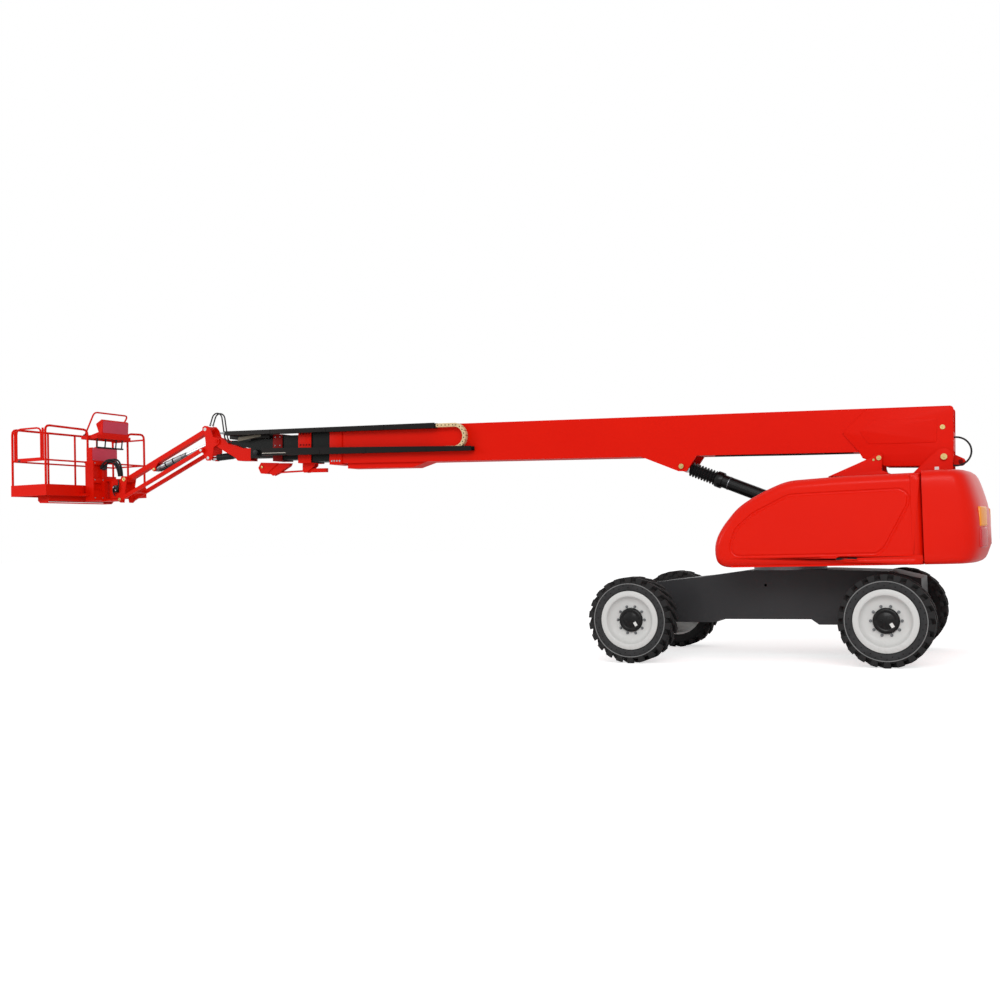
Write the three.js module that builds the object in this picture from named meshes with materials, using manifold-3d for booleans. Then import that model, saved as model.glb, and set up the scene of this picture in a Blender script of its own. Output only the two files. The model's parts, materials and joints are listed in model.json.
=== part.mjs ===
// A self-propelled boom lift: four-wheel chassis, slewing turntable, telescopic boom, jib and
// work platform. Millimetres, +X along the boom to the platform, +Y to the left side, +Z up.
// While the pieces are drawn, x = 0 is midway between the axles. At the end the whole machine
// is moved along x so that the origin lies below the middle of its length.
import * as THREE from 'three';
import { mergeVertices } from 'three/addons/utils/BufferGeometryUtils.js';
import Module from 'manifold-3d';

const wasm = await Module();
wasm.setup();

// ---------- driving dimensions ----------
const AXLE_X = 1505;            // half of the wheelbase
const TYRE_R = 528.5;
const TYRE_WIDTH = 385;
const WHEEL_Y = 1052.5;         // middle of a tyre
const RIM_R = 358;
const KINGPIN_Y = 700;
const FRAME_Y = 450;            // half the width of the chassis frame
const SLEW_X = -250;            // centre of the slew ring
const DECK_Z = 1156.5;          // underside of the turntable deck
const HOOD_Y = [400, 1220];     // inner and outer side of a hood
const TAIL_X = -2601;           // rearmost point of the counterweight
const TAIL_SEAM_X = -1935;      // joint between the hoods and the counterweight
const PIVOT = [-2133, 2398];    // boom pivot, x and z
const SLOPE = 1.96;             // rest angle of the boom, degrees
const LIFT_BASE = [-950, 1600]; // lower pin of the lift cylinder
const LIFT_EYE = [3193, -54];   // upper pin of the lift cylinder, along and across the boom
const MASTER_BASE = [-1380, 2380];
const MASTER_EYE = [-175, -47];  // along and across the boom
const HEAD_PIVOT = [8625, 3245];
const LEVEL_BASE = [7300, 3060];  // levelling cylinder's pin inside the fly section
const LEVEL_EYE = [8794, 2991];   // and its rod's pin on the jib head
const JIB_TOP = [8848, 3451];    // upper jib pin on the jib head
const JIB_END = [10535, 2732];   // upper jib pin at the platform end
const LINK_TOP = [8903, 3119];   // lower jib pin on the jib head
const JIB_RAM_HEAD = [8785, 3250];
const JIB_LUG = [1240, -100];    // jib cylinder lug, along and across the jib
const TURN_X = 10800;            // vertical axis of the platform rotator
const PLATFORM_X = [11190, 11950];
const PLATFORM_Y = 1150;
const FLOOR_Z = 2475;
const RAIL_Z = 3565;             // centre line of the top rail
const TUBE_R = 19;
const POST_R = 17.5;
const FRONT_X = PLATFORM_X[1];

// ---------- finishes ----------
const paint = (color) => new THREE.MeshStandardMaterial({ color, roughness: 0.35, metalness: 0.0 });
const RED = paint(0xe2200f);
const DARK = paint(0x3a3a3c);
const RIM_PAINT = paint(0xd4d4d2);
const BLACK = new THREE.MeshStandardMaterial({ color: 0x151515, roughness: 0.45, metalness: 0.0 });
const TYRE = new THREE.MeshStandardMaterial({ color: 0x2e2e2f, roughness: 0.9, metalness: 0.0 });
const CHROME = new THREE.MeshStandardMaterial({ color: 0xd8dade, roughness: 0.12, metalness: 1.0 });
const CHAIN = new THREE.MeshStandardMaterial({ color: 0xd9cfae, roughness: 0.6, metalness: 0.0 });
const IRON = new THREE.MeshStandardMaterial({ color: 0x4a4c4e, roughness: 0.6, metalness: 0.6 });

// ---------- shape helpers ----------
function solid(geometry) {
  const bare = geometry.clone();
  bare.deleteAttribute('normal');
  bare.deleteAttribute('uv');
  const merged = mergeVertices(bare, 0.001);
  return new wasm.Manifold(new wasm.Mesh({
    numProp: 3,
    vertProperties: new Float32Array(merged.attributes.position.array),
    triVerts: new Uint32Array(merged.index.array),
  }));
}

const join = (...shapes) => shapes.flat().reduce((a, b) => a.add(b));
const cut = (shape, ...tools) => tools.flat().reduce((a, b) => a.subtract(b), shape);
const mirrorY = (shape) => shape.mirror([0, 1, 0]);
const bothSides = (shape) => [shape, mirrorY(shape)];

function box([x0, x1], [y0, y1], [z0, z1]) {
  const geometry = new THREE.BoxGeometry(x1 - x0, y1 - y0, z1 - z0);
  geometry.translate((x0 + x1) / 2, (y0 + y1) / 2, (z0 + z1) / 2);
  return solid(geometry);
}

function outlineShape(points) {
  return new THREE.Shape(points.map(([a, b]) => new THREE.Vector2(a, b)));
}

// An outline in x and z, made thick along y.
function sidePlate(points, [y0, y1], edge = 0, inset = 0) {
  const geometry = new THREE.ExtrudeGeometry(outlineShape(points), {
    depth: y1 - y0 - 2 * edge,
    bevelEnabled: edge > 0,
    bevelThickness: edge,
    bevelSize: edge,
    bevelOffset: -edge - inset,
    bevelSegments: 3,
  });
  geometry.rotateX(Math.PI / 2);
  geometry.translate(0, y1 - edge, 0);
  return solid(geometry);
}

// An outline in x and y, made thick along z.
function flatPlate(points, [z0, z1]) {
  const geometry = new THREE.ExtrudeGeometry(outlineShape(points), {
    depth: z1 - z0,
    bevelEnabled: false,
  });
  geometry.translate(0, 0, z0);
  return solid(geometry);
}

// An outline in y and z, made long along x.
function bar(points, [x0, x1]) {
  const geometry = new THREE.ExtrudeGeometry(outlineShape(points), {
    depth: x1 - x0,
    bevelEnabled: false,
  });
  const turn = new THREE.Matrix4().makeBasis(
    new THREE.Vector3(0, 1, 0),
    new THREE.Vector3(0, 0, 1),
    new THREE.Vector3(1, 0, 0),
  );
  geometry.applyMatrix4(turn);
  geometry.translate(x0, 0, 0);
  return solid(geometry);
}

// A round pin across the machine.
function pin([x, z], r, [y0, y1], sides = 16) {
  const geometry = new THREE.CylinderGeometry(r, r, y1 - y0, sides);
  geometry.translate(x, (y0 + y1) / 2, z);
  return solid(geometry);
}

function post([x, y], r, [z0, z1], sides = 16) {
  const geometry = new THREE.CylinderGeometry(r, r, z1 - z0, sides);
  geometry.rotateX(Math.PI / 2);
  geometry.translate(x, y, (z0 + z1) / 2);
  return solid(geometry);
}

// A round bar between two points.
function rod(from, to, r, sides = 10) {
  const a = new THREE.Vector3(...from);
  const b = new THREE.Vector3(...to);
  const geometry = new THREE.CylinderGeometry(r, r, a.distanceTo(b), sides);
  const turn = new THREE.Quaternion().setFromUnitVectors(
    new THREE.Vector3(0, 1, 0),
    b.clone().sub(a).normalize(),
  );
  geometry.applyQuaternion(turn);
  const middle = a.clone().add(b).multiplyScalar(0.5);
  geometry.translate(middle.x, middle.y, middle.z);
  return solid(geometry);
}

// A bent tube along a line of points, closed at both ends.
function pipe(line, r, sides = 10) {
  const points = line.map((p) => new THREE.Vector3(...p));
  const steps = points.slice(1).map((p, i) => p.clone().sub(points[i]).normalize());
  const vertices = [];
  const faces = [];
  const across = new THREE.Vector3(0.31, 0.42, 0.85).cross(steps[0]).normalize();
  points.forEach((p, i) => {
    const before = steps[Math.max(i - 1, 0)];
    const after = steps[Math.min(i, steps.length - 1)];
    const along = before.clone().add(after).normalize();
    across.addScaledVector(along, -across.dot(along)).normalize();
    const up = along.clone().cross(across);
    for (let k = 0; k < sides; k += 1) {
      const angle = (2 * Math.PI * k) / sides;
      const corner = p.clone();
      corner.addScaledVector(across, r * Math.cos(angle));
      corner.addScaledVector(up, r * Math.sin(angle));
      vertices.push(corner.x, corner.y, corner.z);
    }
  });
  const last = (points.length - 1) * sides;
  for (let k = 0; k < sides; k += 1) {
    const next = (k + 1) % sides;
    for (let row = 0; row < last; row += sides) {
      faces.push(row + k, row + next, row + sides + next);
      faces.push(row + k, row + sides + next, row + sides + k);
    }
    if (k > 0 && next > 0) {
      faces.push(0, next, k);
      faces.push(last, last + k, last + next);
    }
  }
  return new wasm.Manifold(new wasm.Mesh({
    numProp: 3,
    vertProperties: new Float32Array(vertices),
    triVerts: new Uint32Array(faces),
  }));
}

// The points of a line of tube, with each inner corner rounded to a radius.
function rounded(line, radius) {
  const points = line.map((p) => new THREE.Vector3(...p));
  const result = [points[0]];
  for (let i = 1; i + 1 < points.length; i += 1) {
    const back = points[i - 1].clone().sub(points[i]).normalize().multiplyScalar(radius);
    const ahead = points[i + 1].clone().sub(points[i]).normalize().multiplyScalar(radius);
    for (const t of [0, 1 / 3, 2 / 3, 1]) {
      const corner = points[i].clone();
      corner.addScaledVector(back, (1 - t) ** 2).addScaledVector(ahead, t ** 2);
      result.push(corner);
    }
  }
  result.push(points.at(-1));
  return result.map((p) => p.toArray());
}

function ringProfile(profile, sides) {
  const points = [...profile, profile[0]].map(([r, h]) => new THREE.Vector2(r, h));
  return solid(new THREE.LatheGeometry(points, sides));
}

// Points of an arc around a centre, angles in degrees.
function arc([cx, cz], r, from, to, steps = 8) {
  const points = [];
  for (let i = 0; i <= steps; i += 1) {
    const angle = THREE.MathUtils.degToRad(from + ((to - from) * i) / steps);
    points.push([cx + r * Math.cos(angle), cz + r * Math.sin(angle)]);
  }
  return points;
}

// Shapes drawn along the boom (x from the pivot, z across) are put in their rest place.
const onBoom = (shape) => shape.rotate([0, -SLOPE, 0]).translate([PIVOT[0], 0, PIVOT[1]]);

function boomPoint([along, across]) {
  const slope = THREE.MathUtils.degToRad(SLOPE);
  return [
    PIVOT[0] + along * Math.cos(slope) - across * Math.sin(slope),
    PIVOT[1] + along * Math.sin(slope) + across * Math.cos(slope),
  ];
}

// The same the other way: from the machine's x and z to along and across the boom.
function alongBoom([x, z]) {
  const slope = THREE.MathUtils.degToRad(SLOPE);
  return [
    (x - PIVOT[0]) * Math.cos(slope) + (z - PIVOT[1]) * Math.sin(slope),
    (z - PIVOT[1]) * Math.cos(slope) - (x - PIVOT[0]) * Math.sin(slope),
  ];
}

function angleOf([x0, z0], [x1, z1]) {
  return THREE.MathUtils.radToDeg(Math.atan2(z1 - z0, x1 - x0));
}

const distance = ([x0, z0], [x1, z1]) => Math.hypot(x1 - x0, z1 - z0);

// Shapes drawn along x from the origin are laid from one point towards another.
function aim(shape, from, to) {
  return shape.rotate([0, -angleOf(from, to), 0]).translate([from[0], 0, from[1]]);
}

// ---------- the machine ----------
const machine = new THREE.Group();

function part(name, shape, material) {
  const mesh = shape.getMesh();
  const geometry = new THREE.BufferGeometry();
  geometry.setAttribute('position', new THREE.BufferAttribute(mesh.vertProperties, 3));
  geometry.setIndex(new THREE.BufferAttribute(mesh.triVerts, 1));
  geometry.computeVertexNormals();
  const piece = new THREE.Mesh(geometry, material);
  piece.name = name;
  machine.add(piece);
  return piece;
}

// ---------- chassis ----------
const frameSide = [
  [-1840, 560], [-1700, 440], [-1665, 440], [-1665, 715], [-1345, 715], [-1345, 425],
  [-650, 425], [-560, 490], [550, 490], [620, 450], [1345, 450], [1345, 715],
  [1665, 715], [1665, 450], [1700, 450], [1960, 600], [1960, 880], [1400, 961],
  [1070, 996], [810, 1019], [240, 1091.7], [-740, 1091.7], [-1500, 1060], [-1840, 975],
];
const FRAME_WALL = 14;
const INNER_Y = FRAME_Y - FRAME_WALL;
const frameShape = cut(
  sidePlate(frameSide, [-FRAME_Y, FRAME_Y]),
  box([-1330, 1330], [-INNER_Y, INNER_Y], [504, 940]),
  box([-1330, 700], [-INNER_Y, INNER_Y], [900, 1010]),
  box([-700, 200], [-INNER_Y, INNER_Y], [1000, 1070]),
  post([SLEW_X, 0], 325, [1000, 1200], 40),
  box([1360, 1650], [-INNER_Y, INNER_Y], [700, 930]),
  box([-1650, -1360], [-INNER_Y, INNER_Y], [700, 1000]),
  box([1680, 1946], [-INNER_Y, INNER_Y], [400, 850]),
  box([-1826, -1680], [-INNER_Y, INNER_Y], [400, 900]),
  pin([-20, 910], 17, [400, 500], 16),
);
part('chassis_frame', frameShape, DARK);

const ringShape = cut(
  post([SLEW_X, 0], 450, [1092, DECK_Z - 0.3], 48),
  post([SLEW_X, 0], 330, [1000, 1200], 40),
);
part('slew_ring', ringShape, IRON);

// The front axle ends in forks that hold the steering knuckles.
const HUB_R = 150;
const HUB_FACE_Y = 1084.7;
function forkArm(z) {
  const tongue = [
    [AXLE_X - 62, 560], [AXLE_X + 62, 560],
    ...arc([AXLE_X, KINGPIN_Y], 62, 0, 180, 8),
  ];
  return flatPlate(tongue, z);
}
const frontAxle = join(
  box([AXLE_X - 110, AXLE_X + 110], [-590, 590], [430, 640]),
  box([AXLE_X - 130, AXLE_X + 130], [-170, 170], [400, 714]),
  bothSides(forkArm([400, 430.5])),
  bothSides(forkArm([639.5, 668])),
);
part('front_axle', frontAxle, DARK);

const rearHub = pin([-AXLE_X, TYRE_R], HUB_R, [790, HUB_FACE_Y], 32);
const rearAxle = join(
  box([-AXLE_X - 110, -AXLE_X + 110], [-640, 640], [430, 640]),
  box([-AXLE_X - 130, -AXLE_X + 130], [-170, 170], [400, 714]),
  bothSides(pin([-AXLE_X, TYRE_R], 95, [600, 800], 24)),
  bothSides(rearHub),
);
part('rear_axle', rearAxle, DARK);

const knuckle = join(
  post([AXLE_X, KINGPIN_Y], 50, [432, 638], 24),
  pin([AXLE_X, TYRE_R], 75, [KINGPIN_Y, 800], 24),
  pin([AXLE_X, TYRE_R], HUB_R, [790, HUB_FACE_Y], 32),
);
part('knuckle_left', knuckle, DARK);
part('knuckle_right', mirrorY(knuckle), DARK);

// ---------- wheels ----------
const half = TYRE_WIDTH / 2;
const BEAD_R = RIM_R + 0.4;
const tyreProfile = [
  [BEAD_R, -150], [BEAD_R + 30, -half + 8], [450, -half], [500, -half + 10],
  [TYRE_R, -half + 70], [TYRE_R, half - 70], [500, half - 10], [450, half],
  [BEAD_R + 30, half - 8], [BEAD_R, 150],
];
const rimProfile = [
  [0.01, 32.5], [150, 32.5], [328, 62], [334, 56], [334, -170], [RIM_R, -170],
  [RIM_R, 168], [284, 180], [232, 92], [155, 92], [152, 128], [0.01, 128],
];
const tyreShape = ringProfile(tyreProfile, 32);
const rimShape = ringProfile(rimProfile, 32);
const wheels = [
  ['front_left', AXLE_X, 1],
  ['front_right', AXLE_X, -1],
  ['rear_left', -AXLE_X, 1],
  ['rear_right', -AXLE_X, -1],
];
for (const [place, x, side] of wheels) {
  for (const [name, shape, material] of [['tyre', tyreShape, TYRE], ['rim', rimShape, RIM_PAINT]]) {
    const upright = side > 0 ? shape : mirrorY(shape);
    part(`${name}_${place}`, upright.translate([x, side * WHEEL_Y, TYRE_R]), material);
  }
}

// ---------- turntable ----------
const [PX, PZ] = PIVOT;
const CHEEK_Y = [235, 265];
const cheek = [
  [-2280, DECK_Z], [330, DECK_Z], [330, 1320], [-300, 1500], [-560, 1700], [-640, 2150],
  [-768, 2208], [-1306, 2437], [-1360, 2470], [-1403, 2478], [-1440, 2462], [-1425, 2265], [-1500, 2140], [-1720, 2140], [-1783, 2226], [-1985, 2420],
  ...arc([PX, PZ], 105, 60, 180, 8),
  [-2205, 2200], [-2205, 1900], [-2280, 1700],
];
const deckOutline = [
  [TAIL_SEAM_X + 0.3, -390], [-1900, -390], [-1900, -1180], [235, -1180], [235, -390],
  [330, -390], [330, 390], [235, 390], [235, 1180], [-1900, 1180], [-1900, 390],
  [TAIL_SEAM_X + 0.3, 390],
];
const masterLug = [
  [-1480, 2200], [-1300, 2200], [-1335, 2400], ...arc(MASTER_BASE, 48, 30, 150, 6), [-1430, 2380],
];
const hoodRail = join(
  box([-1890, -560], [345, 385], [2140, 2175]),
  box([-1890, -1850], [345, 385], [DECK_Z + 10, 2150]),
  box([-600, -560], [345, 385], [DECK_Z + 10, 2150]),
);
const turntable = cut(
  join(
    flatPlate(deckOutline, [DECK_Z, DECK_Z + 20]),
    bothSides(sidePlate(cheek, CHEEK_Y)),
    box([290, 330], [-250, 250], [DECK_Z, 1300]),
    box([-2280, -2255], [-250, 250], [DECK_Z, 1700]),
    box([-1240, -1215], [-250, 250], [DECK_Z, 2100]),
    box([-1480, -1300], [-250, 250], [2180, 2250]),
    bothSides(sidePlate(masterLug, [36, 56])),
    pin(MASTER_BASE, 20, [-56, 56]),
    pin(LIFT_BASE, 36, [-265, 265]),
    bothSides(pin(PIVOT, 40, [188, 290])),
    bothSides(hoodRail),
    bothSides(box([-1890, -1850], [250, 350], [2140, 2175])),
    bothSides(box([-640, -600], [250, 350], [2100, 2140])),
    bothSides(box([-640, -560], [345, 385], [2100, 2150])),
  ),
  post([SLEW_X, 0], 300, [1100, 1200], 40),
);
part('turntable_frame', turntable, RED);

const tailPlan = [
  [TAIL_SEAM_X, -1205], [-2250, -1196], [-2400, -1130], [-2500, -980], [-2560, -700],
  [-2590, -350], [TAIL_X, 0], [-2590, 350], [-2560, 700], [-2500, 980], [-2400, 1130],
  [-2250, 1196], [TAIL_SEAM_X, 1205],
];
const tailSide = [
  [TAIL_SEAM_X, 1157], [-2470, 1157], [-2545, 1190], [-2590, 1330], [TAIL_X, 1540],
  [-2592, 1740], [-2560, 1900], [-2510, 2080], [-2470, 2180], [-2430, 2212], [TAIL_SEAM_X, 2205],
];
const tailFront = [
  [-1150, 1150], [1150, 1150], [1205, 1210], [1205, 2120], [1150, 2220], [-1150, 2220],
  [-1205, 2120], [-1205, 1210],
];
const counterweight = cut(
  flatPlate(tailPlan, [1100, 2300])
    .intersect(sidePlate(tailSide, [-1300, 1300]))
    .intersect(bar(tailFront, [-2700, -1900])),
  box([-2290, -1900], [-400, 400], [1100, 2300]),
  box([-2400, -1900], [-400, 400], [2050, 2300]),
  box([-2420, -1900], [60, 160], [2050, 2300]),
);
part('counterweight', counterweight, RED);
part('engine_block', box([-1150, -450], [-1000, -560], [DECK_Z + 20.3, 1750]), IRON);

const hoodSide = [
  [-1930, 1157], [285, 1157], [350, 1172], [400, 1212], [425, 1290], [430, 1418],
  [395, 1530], [325, 1650], [156, 1851], [2, 1958], [-209, 2064], [-449, 2161],
  [-1136, 2188], [-1930, 2188],
];
const HOOD_WALL = 15;
const hood = cut(
  sidePlate(hoodSide, [200, HOOD_Y[1]], 50),
  sidePlate(hoodSide, [180, HOOD_Y[1] - HOOD_WALL], 50, HOOD_WALL),
  box([-2000, 500], [100, HOOD_Y[0]], [1000, 2400]),
  box([-1914, 250], [300, 1190], [1100, 1260]),
);
part('hood_left', hood, RED);
part('hood_right', mirrorY(hood), RED);

// ---------- boom ----------
// Each section: start and end along the boom, bottom and top across it, half width, wall.
function boomTube([start, end], [bottom, top], y, wall) {
  return cut(
    box([start, end], [-y, y], [bottom, top]),
    box([start - 10, end + 10], [-y + wall, y - wall], [bottom + wall, top - wall]),
  );
}
function collar([start, end], [bottom, top], y, wall) {
  return boomTube([start, end], [bottom, top], y, wall);
}

const rearPlate = [
  [-103, 565], [-93, 590], [-70, 600], [892, 600], [1163, 315], [978, 92], [931, 5], [664, -98], [300, -104],
  ...arc([0, 0], 106, 270, 190, 6),
  [-103, 60],
];
const liftBracket = [[3768, 90], [3240, -117], [3131, -120], [2988, 95]];
const earPlate = [
  [-103, 95], [40, 95], [-110, -90], ...arc(MASTER_EYE, 50, 300, 140, 8), [-103, 40],
];
const topCorner = [
  [-110, 571], [-103, 571], [-100, 585], [-91, 598], [-78, 607], [-63, 611], [-63, 620],
  [-110, 620],
];
const boomBase = cut(
  join(
    boomTube([-103, 8600], [82, 611], 200, 8),
    collar([8385, 8600], [70, 623], 212, 20),
    bothSides(sidePlate(rearPlate, [190, 212])),
    bothSides(sidePlate(liftBracket, [186, 204])),
    bothSides(pin(LIFT_EYE, 32, [150, 206])),
    bothSides(sidePlate(earPlate, [38, 56])),
    bothSides(pin(MASTER_EYE, 18, [31, 60])),
    cut(
      sidePlate([[6965, 84], [7217, 5], [8318, 5], [8318, 84]], [-150, 150]),
      box([7230, 8400], [-142, 142], [13, 80]),
    ),
    box([-103, -95], [-195, 195], [88, 300]),
    box([100, 112], [80, 200], [-95, -55]),
  ),
  bothSides(pin([0, 0], 41, [150, 300])),
  sidePlate(topCorner, [-220, 220]),
);
part('boom_base', onBoom(boomBase), RED);

const boomSecond = join(
  boomTube([200, 9185], [120, 573], 165, 7),
  collar([8950, 9185], [105, 588], 180, 22),
);
part('boom_second', onBoom(boomSecond), DARK);

const headPivotLocal = alongBoom(HEAD_PIVOT);
const levelBaseLocal = alongBoom(LEVEL_BASE);
const boomThird = join(
  boomTube([400, 9675], [160, 533], 130, 6),
  collar([9500, 9675], [146, 547], 144, 20),
);
part('boom_third', onBoom(boomThird), DARK);

const hoseBox = [
  [10130, 372], [10290, 372], [10400, 408], [10520, 436], [10520, 487], [10130, 487],
];
const boomFly = cut(
  join(
    boomTube([600, 10134], [200, 493], 95, 6),
    cut(
      sidePlate(hoseBox, [-70, 70]),
      sidePlate(hoseBox, [-64, 64], 0, 6),
      box([10480, 10600], [-64, 64], [434, 481]),
    ),
    box([10120, 10134], [-90, 90], [365, 490]),
    bothSides(pin(levelBaseLocal, 20, [36, 92])),
  ),
  box([10110, 10140], [-60, 60], [380, 480]),
);
part('boom_fly', onBoom(boomFly), DARK);

// The nose carries the jib head between two arms and lets the levelling cylinder through.
const noseOutline = [
  [10136, 158], [10383, 163], [10438, 220], [10618, 305], [10752, 378],
  ...arc(headPivotLocal, 60, -50, 130, 10),
  [10640, 497], [10578, 436], [10399, 397], [10281, 357], [10136, 357],
];
const boomNose = cut(
  sidePlate(noseOutline, [-90, 90]),
  box([10100, 10383], [-78, 78], [168, 347]),
  box([10382, 10900], [-60, 60], [100, 600]),
  pin(headPivotLocal, 31, [-100, 100]),
);
part('boom_nose', onBoom(boomNose), RED);

// A stay under the telescope, from the second section's collar to a pinned lug.
const stayBracket = [
  [9187, 104], [9187, -20], [9160, -40], [9120, -40], [8977, 60], [8977, 104],
];
const stayLug = [[9640, 118], [9865, -50], [9965, -42], [10015, 47], [9966, 129]];
const stayFoot = [
  [9432, 112], [9456, 66], [9651, -40], [9750, -80], [9832, -23], [9800, 118],
];
const boomStay = join(
  bothSides(sidePlate(stayBracket, [40, 60])),
  box([8990, 9180], [-45, 45], [88, 104]),
  box([8780, 9170], [-30, 30], [-36, 24]),
  box([9100, 9170], [-45, 45], [-30, 20]),
  rod([9100, 0, -8], [9720, 0, -30], 14, 12),
  bothSides(sidePlate(stayLug, [39, 57])),
  bothSides(sidePlate(stayFoot, [22, 40])),
  box([9690, 9790], [-30, 30], [-45, 60]),
  pin([9936, 60], 18, [-66, 66]),
);
part('boom_stay', onBoom(boomStay), RED);

// ---------- hose tray and energy chain beside the boom ----------
const TRAY_Y = [222, 330];
function tray(outer, inner, supports) {
  return join(
    cut(sidePlate(outer, TRAY_Y), sidePlate(inner, [TRAY_Y[0] + 4, TRAY_Y[1] - 4])),
    supports,
  );
}
const lowerTray = tray(
  [[6185, 218], [9754, 218], [9754, 335], [6185, 281]],
  [[6100, 223], [9745, 223], [9745, 500], [6100, 500]],
  [box([6400, 6500], [200.3, 224], [225, 270]), box([8250, 8350], [200.3, 224], [225, 270])],
);
part('lower_tray', onBoom(lowerTray), BLACK);
const upperTray = tray(
  [[6768, 549], [10459, 549], [10459, 612], [6768, 625]],
  [[6700, 554], [10450, 554], [10450, 700], [6700, 700]],
  [box([9000, 9140], [180.3, 224], [549, 584])],
);
part('upper_tray', onBoom(upperTray), BLACK);
const CHAIN_BEND = [6470, 425];
const chain = [
  [6760, 617], ...arc(CHAIN_BEND, 192, 90, 270, 16), [6900, 233], [6900, 293],
  ...arc(CHAIN_BEND, 132, 270, 90, 14), [6760, 557],
];
part('hose_chain', onBoom(sidePlate(chain, [236, 316])), CHAIN);

// ---------- lift, levelling and jib cylinders ----------
// Each cylinder runs along x from its lower pin at the origin to its rod's eye.
function barrel({ eyeR, holeR, eyeY, r, boreR, end, collarR = r }) {
  return cut(
    join(
      pin([0, 0], eyeR, [-eyeY, eyeY]),
      rod([eyeR * 0.5, 0, 0], [end, 0, 0], r, 28),
      rod([end - r, 0, 0], [end, 0, 0], collarR, 28),
    ),
    pin([0, 0], holeR, [-Math.max(eyeY, r) - 5, Math.max(eyeY, r) + 5]),
    rod([eyeR + 30, 0, 0], [end + 10, 0, 0], boreR, 24),
  );
}
function ram({ length, eyeR, eyeY, r, start }) {
  return join(
    rod([start, 0, 0], [length - eyeR * 0.5, 0, 0], r, 24),
    pin([length, 0], eyeR, [-eyeY, eyeY]),
  );
}

const liftEye = boomPoint(LIFT_EYE);
const liftLength = distance(LIFT_BASE, liftEye);
const LIFT_BARREL_END = liftLength - 440;
part('lift_barrel', aim(barrel({
  eyeR: 90, holeR: 37, eyeY: 150, r: 86, boreR: 56, end: LIFT_BARREL_END, collarR: 100,
}), LIFT_BASE, liftEye), BLACK);
part('lift_rod', aim(ram({
  length: liftLength, eyeR: 60, eyeY: 140, r: 50, start: 200,
}), LIFT_BASE, liftEye), CHROME);

const masterEye = boomPoint(MASTER_EYE);
const masterLength = distance(MASTER_BASE, masterEye);
part('master_barrel', aim(barrel({
  eyeR: 34, holeR: 21, eyeY: 34, r: 34, boreR: 22, end: masterLength - 240,
}), MASTER_BASE, masterEye), BLACK);
part('master_rod', aim(ram({
  length: masterLength, eyeR: 34, eyeY: 30, r: 18, start: 240,
}), MASTER_BASE, masterEye), CHROME);

const levelLength = distance(LEVEL_BASE, LEVEL_EYE);
part('level_barrel', aim(barrel({
  eyeR: 44, holeR: 21, eyeY: 34, r: 44, boreR: 35, end: 1080,
}), LEVEL_BASE, LEVEL_EYE), BLACK);
part('level_rod', aim(ram({
  length: levelLength, eyeR: 42, eyeY: 30, r: 33, start: 600,
}), LEVEL_BASE, LEVEL_EYE), CHROME);

// ---------- free hoses, each in one plane across the machine ----------
function hose(route, y, r) {
  return pipe(route.map(([x, z]) => [x, y, z]), r, 8);
}
// From the boom's rear end plate round to the bulkhead under the boom.
const rearRoute = [
  [-2244.6, 2634], ...arc([-2260, 2464], 170, 90, 277, 18), [-2135, 2310], [-2085, 2321],
  [-2060, 2323.8], [-2031.4, 2324],
];
part('rear_hose', hose(rearRoute, 110, 11), BLACK);
// Out of the fly's hose box, over the jib head and down to the jib's upper arm.
const jibRoute = [
  [8345, 3216], ...arc([8400, 3346], 130, -90, -10, 8), ...arc([8668, 3603], 98, 172, 22, 14),
  [8812, 3508],
];
part('jib_hose_left', hose(jibRoute, 36, 11), BLACK);
part('jib_hose_right', hose(jibRoute, -36, 11), BLACK);

// ---------- jib ----------
const jibLength = distance(JIB_TOP, JIB_END);
const LINK_END = [LINK_TOP[0] + JIB_END[0] - JIB_TOP[0], LINK_TOP[1] + JIB_END[1] - JIB_TOP[1]];

const headPlate = [
  [8723, 2985], [8760, 2945], [8830, 2950], [8862, 3000], [8900, 3075], [8945, 3100],
  [8945, 3140], [8900, 3165], [8850, 3175], [8840, 3215], [8858, 3353], [8905, 3430],
  [8900, 3485], [8860, 3508], [8800, 3500], [8745, 3440], [8700, 3325],
  ...arc(HEAD_PIVOT, 52, 100, 260, 8), [8695, 3150], [8692, 3090],
];
const jibHead = join(
  bothSides(sidePlate(headPlate, [97, 113])),
  bothSides(pin(HEAD_PIVOT, 30, [61, 122])),
  pin(JIB_TOP, 28, [-113, 113]),
  bothSides(pin(JIB_RAM_HEAD, 20, [31, 113])),
  bothSides(pin(LEVEL_EYE, 24, [35, 122])),
  bothSides(pin(LINK_TOP, 24, [100, 165])),
);
part('jib_head', jibHead, RED);

const jibArm = cut(
  join(
    cut(
      box([40, jibLength - 40], [-50, 50], [-40, 40]),
      box([90, jibLength - 90], [-44, 44], [-34, 34]),
      rod([jibLength / 2, 0, 0], [jibLength / 2, 0, 80], 12, 12),
    ),
    pin([0, 0], 48, [-92, 92]),
    pin([jibLength, 0], 48, [-92, 92]),
    bothSides(sidePlate([[1080, -20], [1330, -20], ...arc(JIB_LUG, 38, 20, -200, 8)], [43, 58])),
    pin(JIB_LUG, 18, [-58, 58]),
  ),
  pin([0, 0], 29, [-100, 100]),
  pin([jibLength, 0], 29, [-100, 100]),
);
part('jib_arm', aim(jibArm, JIB_TOP, JIB_END), RED);

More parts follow.
